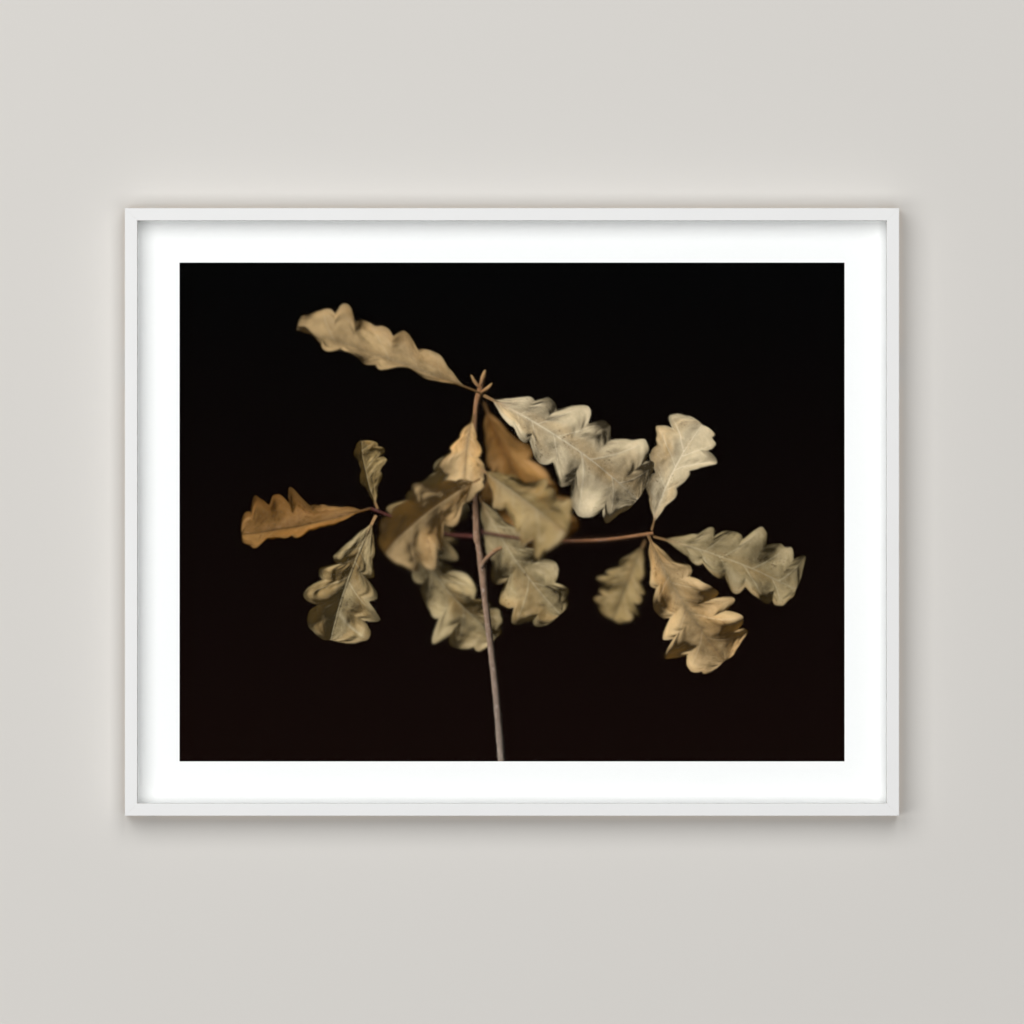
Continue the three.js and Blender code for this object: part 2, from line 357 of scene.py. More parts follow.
@dataclass(frozen=True)
class Hardboard(Finish):
    """Pressed wood fibre: brown, with long pale and dark fibres lying every way."""

    colour: Colour = (0.33, 0.185, 0.088)
    pale: Colour = (0.405, 0.240, 0.120)
    dark: Colour = (0.235, 0.127, 0.060)
    fibre_scale: float = 1750.0

    def fibres(self, graph: Graph, place: Socket, degrees: float) -> Socket:
        """Fibres that lie at one angle on the board."""
        feeds = {"Vector": place, "Rotation": (0.0, math.radians(degrees), 0.0)}
        turned = graph.add("ShaderNodeMapping", feeds).outputs[0]
        return graph.noise(graph.stretched(turned, (0.10, 1.0, 1.0)), self.fibre_scale, 3.0, 0.6)

    def surface(self, graph: Graph, place: Socket) -> Surface:
        """Three sheaves of fibres over a cloudy ground."""
        sheaves = [self.fibres(graph, place, angle) for angle in (14.0, 73.0, 128.0)]
        most = graph.math("MAXIMUM", graph.math("MAXIMUM", sheaves[0], sheaves[1]), sheaves[2])
        least = graph.math("MINIMUM", graph.math("MINIMUM", sheaves[0], sheaves[1]), sheaves[2])
        cloud = graph.noise(place, 22.0, 4.0)
        ground = graph.mixed(graph.ramp(cloud, 0.25, 0.8), self.colour, [c * 0.84 for c in self.colour])
        pale = graph.mixed(graph.ramp(most, 0.56, 0.72), ground, self.pale)
        return Surface(
            graph.mixed(graph.ramp(least, 0.42, 0.30), pale, self.dark),
            graph.ramp(most, 0.4, 0.8, (0.42, 0.66)),
            most,
            {"Specular IOR Level": 0.45},
        )


@dataclass(frozen=True)
class Metal(Finish):
    """Worked metal, drawn or plated, with fine streaks, a cloudy film and small spots."""

    colour: Colour = (0.60, 0.60, 0.61)
    stain: Colour = (0.40, 0.38, 0.36)
    gloss: tuple[float, float] = (0.22, 0.42)
    streaks: tuple[float, float, float] = (1.0, 1.0, 12.0)

    def surface(self, graph: Graph, place: Socket) -> Surface:
        """Streaks from rolling and a cloudy film."""
        drawn = graph.noise(graph.stretched(place, self.streaks), 900.0, 3.0, 0.6)
        film = graph.noise(place, 240.0, 4.0, 0.6)
        spots = graph.ramp(graph.noise(place, 1400.0, 2.0), 0.66, 0.78)
        worn = graph.math("MAXIMUM", graph.ramp(film, 0.48, 0.85), graph.math("MULTIPLY", spots, 0.6))
        return Surface(
            graph.mixed(worn, self.colour, self.stain),
            graph.math("ADD", graph.ramp(drawn, 0.25, 0.75, self.gloss), graph.math("MULTIPLY", worn, 0.12)),
            drawn,
            {"Metallic": 1.0},
        )


@dataclass(frozen=True)
class Rubber(Finish):
    """Milky soft rubber with a fine grain and a little dust."""

    colour: Colour = (0.56, 0.56, 0.52)
    dust: Colour = (0.50, 0.495, 0.455)

    def surface(self, graph: Graph, place: Socket) -> Surface:
        """Grain and dust."""
        grain = graph.noise(place, 2600.0, 3.0)
        dust = graph.ramp(graph.noise(place, 520.0, 4.0, 0.7), 0.52, 0.78)
        return Surface(
            graph.mixed(dust, self.colour, self.dust),
            graph.ramp(grain, 0.3, 0.7, (0.55, 0.72)),
            grain,
            {"Subsurface Weight": 0.12, "Subsurface Scale": 0.002},
        )


@dataclass(frozen=True)
class GroundEdge(Finish):
    """The ground edge of a float glass sheet: sea green and satin."""

    colour: Colour = (0.34, 0.52, 0.45)
    chip: Colour = (0.56, 0.70, 0.64)

    def surface(self, graph: Graph, place: Socket) -> Surface:
        """Grinding marks along the edge."""
        marks = graph.noise(place, 3000.0, 3.0, 0.7)
        return Surface(
            graph.mixed(graph.ramp(marks, 0.4, 0.8), self.colour, self.chip),
            graph.ramp(marks, 0.3, 0.8, (0.28, 0.5)),
            marks,
            {"Specular IOR Level": 0.6},
        )


@dataclass(frozen=True)
class ClearGlass(Finish):
    """Low-reflecting glass that shows what is behind it, with only a faint cool gleam."""

    coating_ior: float = 1.07
    tint: Colour = (0.996, 1.0, 0.998)
    gleam: Colour = (0.93, 0.98, 1.0)

    def material(self) -> bpy.types.Material:
        """Transparent, with a mirror's share that grows towards grazing angles.

        Returns:
            The material.
        """
        made, graph, place = blank_material(self.label)
        smears = graph.noise(graph.stretched(place, (3.0, 1.0, 9.0)), 2.0, 4.0)
        wipes = graph.ramp(smears, 0.3, 0.8, (0.0, 0.035))
        clear = graph.add("ShaderNodeBsdfTransparent", {"Color": with_alpha(self.tint)}).outputs[0]
        feeds = {"Color": with_alpha(self.gleam), "Roughness": wipes}
        mirror = graph.add("ShaderNodeBsdfAnisotropic", feeds)
        share = graph.add("ShaderNodeFresnel", {"IOR": self.coating_ior}).outputs[0]
        mixed = graph.add("ShaderNodeMixShader", {0: share, 1: clear, 2: mirror.outputs[0]}).outputs[0]
        graph.add("ShaderNodeOutputMaterial", {"Surface": mixed})
        return made


class Finishes:
    """Every finish of the framed print, by the part that wears it."""

    PAINT_ACROSS = PaintedWood("satin_white_across", "white_paint", 0.05 * MM)
    PAINT_UPRIGHT = PaintedWood("satin_white_upright", "white_paint", 0.05 * MM, grain=(110.0, 110.0, 6.0))
    GLASS = ClearGlass("clear_glass", "glass", 0.0)
    GLASS_EDGE = GroundEdge("ground_glass_edge", "glass", 0.02 * MM)
    CARD = WhiteCard("white_card", "spacer_card", 0.04 * MM)
    PAPER = PrintedPaper("printed_paper", "print_paper", 0.02 * MM)
    TAPE = LinenTape("linen_tape", "linen_tape", 0.08 * MM)
    MOUNT = MuseumBoard("museum_board", "mount_board", 0.03 * MM)
    BACKING = Hardboard("pressed_hardboard", "hardboard", 0.10 * MM)
    SPRING = Metal(
        "blued_spring_steel", "spring_steel", 0.008 * MM,
        colour=(0.30, 0.31, 0.33), stain=(0.17, 0.165, 0.17), gloss=(0.24, 0.40),
    )
    ZINC = Metal(
        "bright_zinc", "zinc_steel", 0.0025 * MM,
        colour=(0.66, 0.67, 0.69), stain=(0.46, 0.46, 0.46),
    )
    RUBBER = Rubber("milky_rubber", "bumper_rubber", 0.02 * MM)


# -------------------- mesh work


def plain_object(name: str, mesh: bpy.types.Mesh) -> bpy.types.Object:
    """An object at the origin that holds the mesh."""
    made = bpy.data.objects.new(name, mesh)
    bpy.context.scene.collection.objects.link(made)
    return made


def settled(obj: bpy.types.Object) -> bpy.types.Object:
    """Turn what an object's modifiers make into its own plain mesh, and remove the modifiers.

    Args:
        obj: The object, which is changed.

    Returns:
        The same object.
    """
    graph = bpy.context.evaluated_depsgraph_get()
    mesh = bpy.data.meshes.new_from_object(obj.evaluated_get(graph))
    obj.modifiers.clear()
    old = obj.data
    obj.data = mesh
    bpy.data.meshes.remove(old)
    mesh.name = obj.name
    return obj


def weigh_normals(obj: bpy.types.Object, sharp_angle: float = 50.0) -> bpy.types.Object:
    """Shade smooth with the wide faces kept flat, and settle the result.

    Args:
        obj: The object, which is changed.
        sharp_angle: The angle in degrees from which an edge stays sharp.

    Returns:
        The same object.
    """
    obj.data.shade_smooth()
    obj.data.set_sharp_from_angle(angle=math.radians(sharp_angle))
    weigh = obj.modifiers.new("weigh_normals", "WEIGHTED_NORMAL")
    weigh.keep_sharp = True
    return settled(obj)


def cut_away(obj: bpy.types.Object, cutter: bpy.types.Object) -> None:
    """Cut a closed shape out of a piece."""
    cut = obj.modifiers.new(cutter.name, "BOOLEAN")
    cut.object, cut.operation, cut.solver = cutter, "DIFFERENCE", "EXACT"
    settled(obj)


def from_bmesh(name: str, work: bmesh.types.BMesh) -> bpy.types.Object:
    """An object from a mesh that was being worked on.

    Args:
        name: The object's name.
        work: The mesh, which is used up.

    Returns:
        The object.
    """
    mesh = bpy.data.meshes.new(name)
    work.to_mesh(mesh)
    work.free()
    return plain_object(name, mesh)


def skin(rows: Array, closed: bool) -> tuple[Array, list[tuple[int, ...]]]:
    """A skin over closed sections that follow each other.

    Args:
        rows: Points as (sections, points of a section, 3).
        closed: Join the last section to the first; otherwise both ends get a face.

    Returns:
        The vertices and the faces.
    """
    count, around = rows.shape[:2]
    faces: list[tuple[int, ...]] = []
    for i in range(count if closed else count - 1):
        here, there = i * around, (i + 1) % count * around
        for j in range(around):
            k = (j + 1) % around
            faces.append((here + j, here + k, there + k, there + j))
    if not closed:
        faces.append(tuple(range(around))[::-1])
        faces.append(tuple((count - 1) * around + j for j in range(around)))
    return rows.reshape(-1, 3), faces


def mesh_object(name: str, vertices: Array, faces: Sequence[Sequence[int]]) -> bpy.types.Object:
    """A closed mesh with its faces turned outwards and its large faces cut into triangles.

    Args:
        name: The object's name.
        vertices: Its points.
        faces: Its faces, as numbers of points.

    Returns:
        The object.
    """
    mesh = bpy.data.meshes.new(name)
    mesh.from_pydata([tuple(map(float, v)) for v in vertices], [], [tuple(f) for f in faces])
    work = bmesh.new()
    work.from_mesh(mesh)
    bmesh.ops.triangulate(work, faces=[f for f in work.faces if len(f.verts) > 4], ngon_method="EAR_CLIP")
    bmesh.ops.recalc_face_normals(work, faces=work.faces)
    work.to_mesh(mesh)
    work.free()
    return plain_object(name, mesh)


def rounded_corners(corners: Sequence[Sequence[float]], radii: Sequence[float], steps: int) -> Array:
    """A right-angled outline with each corner turned into an arc.

    Args:
        corners: The outline's corners in order.
        radii: Each corner's radius.
        steps: How many pieces an arc has.

    Returns:
        The rounded outline's points.
    """
    points = []
    outline = np.array(corners, float)
    for i, (corner, radius) in enumerate(zip(outline, radii)):
        back = outline[i - 1] - corner
        ahead = outline[(i + 1) % len(outline)] - corner
        back, ahead = back / np.linalg.norm(back), ahead / np.linalg.norm(ahead)
        middle = corner + (back + ahead) * radius
        for angle in np.linspace(0, math.pi / 2, steps + 1):
            points.append(middle - radius * (ahead * math.cos(angle) + back * math.sin(angle)))
    return np.array(points)


def soft_box(name: str, low: Vector, high: Vector, radius: float) -> bpy.types.Object:
    """A box between two corners with slightly rounded edges.

    Args:
        name: Its name.
        low: Its lowest corner.
        high: Its highest corner.
        radius: The rounding of its edges.

    Returns:
        The box.
    """
    work = bmesh.new()
    bmesh.ops.create_cube(work, size=1.0)
    size = high - low
    for vertex in work.verts:
        vertex.co = Vector((low[i] + (vertex.co[i] + 0.5) * size[i] for i in range(3)))
    bmesh.ops.bevel(work, geom=work.edges[:], offset=radius, segments=3, profile=0.5, affect="EDGES")
    bmesh.ops.recalc_face_normals(work, faces=work.faces)
    return weigh_normals(from_bmesh(name, work), sharp_angle=80.0)


def place_piece(obj: bpy.types.Object, finish: Finish, body: str, nodes: Sequence[str]) -> None:
    """Hand a finished piece over to the frame.

    Args:
        obj: The piece, at the origin, with its place in its mesh.
        finish: The finish that it wears.
        body: The body that it moves with.
        nodes: The nodes that it stands for.
    """
    if not obj.data.materials:
        obj.data.materials.append(finish.material())
    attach(obj, body)
    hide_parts(*nodes)
    log.info("%s: %d faces, rides on %s", obj.name, len(obj.data.polygons), body)


def dress_node(node: str, finish: Finish) -> None:
    """Give a node of the frame that stays as it is a finish of its own.

    Args:
        node: The node's name.
        finish: The finish that it wears.
    """
    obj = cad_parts[node]
    obj.data.materials.clear()
    obj.data.materials.append(finish.material())
    log.info("%s: kept as it is, in %s", node, finish.label)


# -------------------- geometry trees


def lengths(part: object, **measured: float) -> dict[str, float]:
    """A part's own sizes and some measured ones, under their names as a tree's inputs."""
    sizes = {name: size for name, size in vars(part).items() if isinstance(size, float)} | measured
    return {name.replace("_", " ").capitalize(): size for name, size in sizes.items()}


class RepeatTree:
    """A geometry tree that puts copies of one shape on points, each turned by its own angles."""

    SHARP_ANGLE = math.radians(38)

    def __init__(self, name: str, sizes: dict[str, float], finish: Finish) -> None:
        """Make the tree and its named inputs.

        Args:
            name: The tree's name.
            sizes: The shape's lengths, each of which becomes an input.
            finish: The finish that the shape wears.
        """
        self.group = bpy.data.node_groups.new(name, "GeometryNodeTree")
        face = self.group.interface
        face.new_socket(name="Geometry", in_out="INPUT", socket_type="NodeSocketGeometry")
        face.new_socket(name="Geometry", in_out="OUTPUT", socket_type="NodeSocketGeometry")
        self.values: dict[str, object] = {}
        for label, length in sizes.items():
            made = face.new_socket(name=label, in_out="INPUT", socket_type="NodeSocketFloat")
            self.values[made.identifier] = length
        made = face.new_socket(name="Finish", in_out="INPUT", socket_type="NodeSocketMaterial")
        self.values[made.identifier] = finish.material()
        self.graph = Graph(self.group)
        self.inputs = self.graph.add("NodeGroupInput").outputs

    def block(self, size: Sequence[Socket], points: Sequence[int]) -> Socket:
        """A block about the origin, with so many points along each of its edges."""
        feeds = {f"Vertices {axis}": count for axis, count in zip("XYZ", points)}
        return self.graph.add("GeometryNodeMeshCube", {"Size": self.graph.vector(*size), **feeds}).outputs[0]

    def cylinder(self, radius: str, height: str, pieces: Sequence[int]) -> Socket:
        """An upright cylinder, its pieces counted round it, up its side and from an end's middle out."""
        feeds = dict(zip(("Vertices", "Side Segments", "Fill Segments"), pieces))
        feeds |= {"Radius": self.inputs[radius], "Depth": self.inputs[height]}
        return self.graph.add("GeometryNodeMeshCylinder", feeds, fill_type="TRIANGLE_FAN").outputs[0]

    def parts(self) -> list[Socket]:
        """Each point's x, y and z."""
        place = self.graph.add("GeometryNodeInputPosition").outputs[0]
        return list(self.graph.add("ShaderNodeSeparateXYZ", {0: place}).outputs)

    def level(self, z: Socket, height: str) -> Socket:
        """How far up a shape each point is, from 0 at its foot to 1 at its top."""
        return self.graph.math("ADD", self.graph.math("DIVIDE", z, self.inputs[height]), 0.5)

    def far(self, x: Socket, y: Socket, radius: str) -> Socket:
        """How far from the axis each point is, as a share of the radius."""
        g = self.graph
        square = g.math("MULTIPLY_ADD", x, x, g.math("MULTIPLY", y, y))
        return g.math("DIVIDE", g.math("SQRT", square), self.inputs[radius])

    def moved(self, mesh: Socket, x: Socket, y: Socket, z: Socket) -> Socket:
        """The mesh with each point at a new place."""
        feeds = {"Geometry": mesh, "Position": self.graph.vector(x, y, z)}
        return self.graph.add("GeometryNodeSetPosition", feeds).outputs[0]

    def drawn(self, mesh: Socket, x: Socket, y: Socket, share: Socket, z: Socket) -> Socket:
        """The mesh drawn in towards its axis by a share, with each point at a new height."""
        near_x, near_y = (self.graph.math("MULTIPLY", part, share) for part in (x, y))
        return self.moved(mesh, near_x, near_y, z)

    def finish(self, shape: Socket) -> None:
        """End the tree: copies on points, made real, smooth and dressed.

        Args:
            shape: The shape that is copied.
        """
        g = self.graph
        turn = g.add("GeometryNodeInputNamedAttribute", {"Name": "turn"}, data_type="FLOAT_VECTOR")
        feeds = {"Points": self.inputs["Geometry"], "Instance": shape, "Rotation": turn.outputs[0]}
        copies = g.add("GeometryNodeInstanceOnPoints", feeds).outputs[0]
        real = g.add("GeometryNodeRealizeInstances", {0: copies}).outputs[0]
        feeds = {"Geometry": real, "Material": self.inputs["Finish"]}
        dressed = g.add("GeometryNodeSetMaterial", feeds).outputs[0]
        g.add("NodeGroupOutput", {0: dressed})

    def made(self, name: str, places: Sequence[Matrix]) -> bpy.types.Object:
        """Run the tree.

        Args:
            name: The piece's name.
            places: Where each copy stands and how it is turned.

        Returns:
            The piece, as a plain mesh.
        """
        mesh = bpy.data.meshes.new(name)
        mesh.from_pydata([place.translation[:] for place in places], [], [])
        turns = mesh.attributes.new("turn", "FLOAT_VECTOR", "POINT")
        turns.data.foreach_set("vector", [a for place in places for a in place.to_euler()])
        obj = plain_object(name, mesh)
        modifier = obj.modifiers.new(name, "NODES")
        modifier.node_group = self.group
        for identifier, value in self.values.items():
            modifier[identifier] = value
        settled(obj)
        obj.data.shade_smooth()
        obj.data.set_sharp_from_angle(angle=self.SHARP_ANGLE)
        return obj


# -------------------- the still life on the print

PICTURE_WIDTH = 800.0
PICTURE_HEIGHT = 600.0
VIEWER = np.array([0.0, 0.0, 1.0])
STALK_COLOUR = np.array([0.42, 0.235, 0.10])
CIRCLE = 2 * math.pi
LEAF_SPACING = 0.62
TWIG_SPACING = 0.5
SHARPEST = 0.45


@dataclass(frozen=True)
class Tone:
    """The colours of one kind of dried leaf, in linear light."""

    upper: Colour
    under: Colour
    vein: Colour
    glow: Colour


class Dried(Enum):
    """How a leaf has dried."""

    OCHRE = Tone((0.54, 0.365, 0.175), (0.54, 0.395, 0.22), (0.70, 0.53, 0.32), (0.14, 0.068, 0.012))
    PALE = Tone((0.46, 0.345, 0.195), (0.56, 0.445, 0.275), (0.80, 0.67, 0.46), (0.06, 0.036, 0.010))
    OLIVE = Tone((0.27, 0.185, 0.075), (0.35, 0.265, 0.135), (0.56, 0.46, 0.28), (0.07, 0.040, 0.008))
    AMBER = Tone((0.36, 0.185, 0.055), (0.34, 0.19, 0.075), (0.46, 0.27, 0.12), (0.20, 0.075, 0.008))


def smooth_noise(u: Array, v: Array, seed: int) -> Array:
    """Value noise from -1 to 1 with one cell to each unit of u and v.

    Args:
        u: Places one way.
        v: Places the other way.
        seed: The seed of its values.

    Returns:
        The noise at each place.
    """
    size = 64
    grid = np.random.default_rng(seed).uniform(-1, 1, (size, size)).astype(np.float32)
    iu, iv = np.floor(u).astype(np.int32), np.floor(v).astype(np.int32)
    fu, fv = (u - iu).astype(np.float32), (v - iv).astype(np.float32)
    fu, fv = fu * fu * (3 - 2 * fu), fv * fv * (3 - 2 * fv)
    a, b, c, d = iu % size, iv % size, (iu + 1) % size, (iv + 1) % size
    low = grid[a, b] * (1 - fu) + grid[c, b] * fu
    high = grid[a, d] * (1 - fu) + grid[c, d] * fu
    return low * (1 - fv) + high * fv


def layered_noise(u: Array, v: Array, seed: int, layers: int = 3) -> Array:
    """Several sizes of smooth noise added up, from about -1 to 1.

    Args:
        u: Places one way.
        v: Places the other way.
        seed: The seed of the largest.
        layers: How many sizes there are, each half as wide as the one before.

    Returns:
        The noise at each place.
    """
    total = 0.0
    for i in range(layers):
        total = total + smooth_noise(u * 2**i + 7.3 * i, v * 2**i + 3.1 * i, seed + i) / 2**i
    return total / (2 - 2.0 ** (1 - layers))


def unit(v: Array) -> Array:
    """Vectors scaled to length one."""
    return v / np.maximum(np.linalg.norm(v, axis=-1, keepdims=True), 1e-9)


def held(values: Array, low: float = 0.0, high: float = 1.0) -> Array:
    """Values held between two limits."""
    return np.clip(values, low, high)


@dataclass(frozen=True)
class Light:
    """The light on the still life. `key` is the way to it: right, up and towards the viewer."""

    key: tuple[float, float, float] = (-0.55, 0.62, 0.50)
    key_strength: float = 1.32
    fill: float = 0.050
    sheen: float = 0.035
    sheen_power: int = 14


@dataclass
class Layer:
    """One leaf or twig as seen from the front: colour, cover and place along it, on a fine grid."""

    x0: int
    z0: int
    rgb: Array
    cover: Array
    along: Array
    depth: float
    blur: tuple[float, float]


@dataclass
class Blade:
    """A leaf as a grid: s goes from 0 at its base to 1 at its tip, t from -1 to 1 across it.

    `reach` is the distance from the midrib, and `away` is the way off the face, row by row.
    """

    points: Array
    s: Array
    t: Array
    reach: Array
    away: Array


@dataclass
class Veins:
    """How much of a vein each place of a blade is, from 0 to 1, and how far it is through its lobe."""

    rib: Array
    side: Array
    net: Array
    phase: Array


@dataclass
class Leaf:
    """One dried oak leaf. Lengths are millimetres of the picture and angles are degrees.

    `base` is where the stalk starts, as x, z and the distance towards the viewer, and `heading`
    is the way that it sets off, anticlockwise from the right. `under` shows the leaf's underside.
    `blur` is how far out of focus the base and the tip are.
    """

    base: tuple[float, float, float]
    heading: float
    length: float
    width: float
    tone: Dried
    seed: int
    pitch: float = 0.0
    roll: float = 0.0
    bend: float = 0.0
    droop: float = 0.0
    twist: float = 0.0
    fold: float = 12.0
    curl: float = 0.0
    wave: float = 0.14
    lobes: float = 5.2
    lobe_depth: float = 0.42
    under: bool = False
    blur: tuple[float, float] = (0.0, 0.0)
    stalk: float = 9.0
    bright: float = 1.0

    def envelope(self, s: Array) -> Array:
        """Half width of the blade without its lobes, as a share of the widest."""
        fall = 0.46
        peak = (fall / (1 + fall)) ** fall / (1 + fall)
        return s * (1 - s) ** fall / peak

    def phase(self, s: Array, side: Array | float) -> Array:
        """Which lobe a place belongs to: whole numbers are the notches between them."""
        swing = 0.16 * np.sin(s * 8.0 + self.seed) + 0.10 * np.sin(s * 19.0 + 2 * self.seed)
        return s * self.lobes + swing + np.where(np.asarray(side) > 0, 0.0, 0.22)

    def outline(self, s: Array, side: float) -> Array:
        """Half width at each place along the blade, lobes and all.

        Args:
            s: Places from the blade's base to its tip.
            side: 1 for the side that t is positive on, and -1 for the other.

        Returns:
            The half widths in millimetres.
        """
        rng = np.random.default_rng(self.seed + (17 if side > 0 else 0))
        phase = self.phase(s, side)
        sizes = rng.uniform(0.80, 1.10, int(self.lobes) + 4)
        size = np.interp(phase, np.arange(len(sizes)) + 0.5, sizes)
        bump = np.sqrt(np.sin(math.pi * phase) ** 2 + 0.015) ** 0.72
        depth = self.lobe_depth * held(s / 0.30, 0.15) * (1 - 0.45 * s**5)
        ragged = 1 + 0.05 * smooth_noise(s * 26, s * 0 + 3 + side, self.seed + 5)
        lobed = self.envelope(s) * (1 - depth * (1 - held(bump))) * size * ragged
        return lobed * self.width / 2

    def spine(self, whole: Array) -> tuple[Array, Array, Array, Array]:
        """The stalk and midrib.

        Args:
            whole: Places from 0 where the stalk starts to 1 at the tip.

        Returns:
            Its points, and the directions ahead, across the blade and off its face.
        """
        yaw = np.radians(self.heading + self.bend * whole**1.2)
        pitch = np.radians(self.pitch - self.droop * whole**1.3)
        ahead = np.stack([np.cos(yaw) * np.cos(pitch), np.sin(yaw) * np.cos(pitch), np.sin(pitch)], -1)
        points = np.cumsum(ahead, 0) * (self.length / len(whole)) + np.array(self.base)
        across = unit(np.cross(VIEWER, ahead))
        away = np.cross(ahead, across)
        turn = np.radians(self.roll + self.twist * whole)[:, None]
        cos, sin = np.cos(turn), np.sin(turn)
        return points, ahead, across * cos + away * sin, away * cos - across * sin

    def lift(self, s: Array, t: Array, half: Array) -> Array:
        """How far the blade stands off its plane: its fold, curled edges, waves and lumps.

        Args:
            s: Places along the blade.
            t: Places across it.
            half: The half width at each place along it.

        Returns:
            The distances in millimetres.
        """
        a = np.abs(t)
        swing = np.random.default_rng(self.seed).uniform(0, CIRCLE, 3)
        rolls = np.sin(CIRCLE * self.lobes * 0.52 * s + np.where(t > 0, swing[0], swing[1]))
        slow = np.sin(CIRCLE * 0.9 * s + swing[2])
        lumps = layered_noise(s * 4.2 + 0 * t, t * 1.7 + 0 * s + 9, self.seed + 40)
        bent = half * a * math.sin(math.radians(self.fold)) + self.curl * half * a**2.2
        waved = self.wave * half * a**1.5 * (rolls + 0.7 * slow)
        return bent + waved + 0.16 * half * lumps * held(a * 1.6)

    def blade(self, step: float) -> Blade:
        """The stalk and blade as a grid.

        Args:
            step: How far apart its points may be.

        Returns:
            The grid.
        """
        count = int(self.length * 1.2 / step)
        count_across = int(self.width * 1.15 / step) | 1
        whole = np.linspace(0, 1, count, dtype=np.float32)
        t = np.linspace(-1, 1, count_across, dtype=np.float32)[None, :]
        share = self.stalk / self.length
        s = held((whole - share) / (1 - share))[:, None]
        spine, ahead, across, away = self.spine(whole)
        stem = 0.55 + 0.9 * (1 - whole[:, None])
        half = np.maximum(np.where(t > 0, self.outline(s, 1.0), self.outline(s, -1.0)), stem)
        a = np.abs(t)
        reach = half * a
        swept = reach * (0.16 + 0.06 * a) * held(s / 0.15) * (1 - 0.4 * s**3)
        flat = np.sign(t) * reach * math.cos(math.radians(self.fold))
        points = spine[:, None] + across[:, None] * flat[..., None] + ahead[:, None] * swept[..., None]
        points = (points + away[:, None] * self.lift(s, t, half)[..., None]).astype(np.float32)
        return Blade(points, s + 0 * t, t + 0 * s, reach, away)

    def veins(self, blade: Blade) -> Veins:
        """The midrib, the side veins that run out to the lobes, and the fine net between them.

        Args:
            blade: The blade.

        Returns:
            The veins.
        """
        s, a, reach = blade.s, np.abs(blade.t), blade.reach
        spread = self.envelope(s) * self.width / 2 - reach
        phase = self.phase(held(s + (0.62 - 0.22 * a) * spread / self.length * (1 - s**4)), blade.t)
        gap = np.abs((phase % 1) - 0.5) / self.lobes * self.length * 0.8
        side = np.exp(-((gap / (0.74 - 0.34 * a)) ** 2)) * held((0.96 - a) * 3) * held(s / 0.1)
        net = held(1 - np.abs(self.mottle(blade, 4.2, 60, 2)) * 5)
        return Veins(np.exp(-((reach / (1.25 - 0.75 * s)) ** 2)), side, net, phase)

    def mottle(self, blade: Blade, size: float, seed: int, layers: int = 3, shift: float = 0.0) -> Array:
        """Noise on the blade, its largest blots this many millimetres wide, from about -1 to 1."""
        u, v = blade.s * self.length, blade.t * self.width / 2
        return layered_noise(u / size, v / size + shift, self.seed + seed, layers)

    def embossed(self, blade: Blade, veins: Veins) -> Array:
        """The blade's points with its veins, the swell between them and its creases in relief.

        Args:
            blade: The blade.
            veins: Its veins.

        Returns:
            The raised points.
        """
        a = np.abs(blade.t)
        swell = np.cos(CIRCLE * (veins.phase - 0.5)) * held(a * 3) * held((1 - a) * 3, 0.3)
        raised = 1.0 if self.under else -1.0
        relief = raised * (0.62 * veins.rib + 0.13 * veins.side + 0.05 * veins.net - 0.42 * swell)
        relief = relief + 1.3 * self.mottle(blade, 22, 70, shift=5)
        return blade.points + blade.away[:, None] * relief[..., None]

    def pigment(self, blade: Blade, veins: Veins, back: Array) -> Array:
        """The blade's own colour.

        Args:
            blade: The blade.
            veins: Its veins, which are paler.
            back: Where its underside shows.

        Returns:
            The colours: mottled, warmer in places, with dark specks and a darker edge.
        """
        s, t = blade.s, blade.t
        tone: Tone = self.tone.value
        base = np.where(back, np.array(tone.under), np.array(tone.upper)).astype(np.float32)
        mottle, fine = self.mottle(blade, 30, 90), self.mottle(blade, 3.2, 95, 2)
        base = base * (1 + 0.34 * mottle[..., None] + 0.10 * fine[..., None])
        warm = held(layered_noise(s * 3.1 + 4, t * 1.9 + 8, self.seed + 99, 2) * 1.4)
        base = base * (1 - warm[..., None] * np.array([0.0, 0.15, 0.34]))
        share = held(veins.rib + 0.80 * veins.side + 0.20 * veins.net)[..., None]
        share = share * np.where(back, 0.84, 0.50)
        vein = STALK_COLOUR + (np.array(tone.vein) - STALK_COLOUR) * held(s / 0.22)[..., None]
        base = np.where((s <= 0)[..., None], STALK_COLOUR, base * (1 - share) + vein * share)
        specks, patches = self.mottle(blade, 2.0, 120, 2), self.mottle(blade, 26, 125, 2)
        dark = held((specks - 0.40) * 7) * held(patches * 2.2) * 0.80
        edge = held((np.abs(t) - 0.88) / 0.12) * 0.30
        return base * (1 - dark[..., None] * np.array([0.80, 0.86, 0.90])) * (1 - edge[..., None])

    def normals(self, points: Array) -> Array:
        """The way each place of the blade faces. A strip at each edge faces as the place inside it.

        Args:
            points: The blade's raised points.

        Returns:
            A direction for each.
        """
        found = unit(np.cross(np.gradient(points, axis=0), np.gradient(points, axis=1)))
        strip = max(2, found.shape[1] // 28)
        found[:, :strip] = found[:, strip : strip + 1]
        found[:, -strip:] = found[:, -strip - 1 : -strip]
        return found

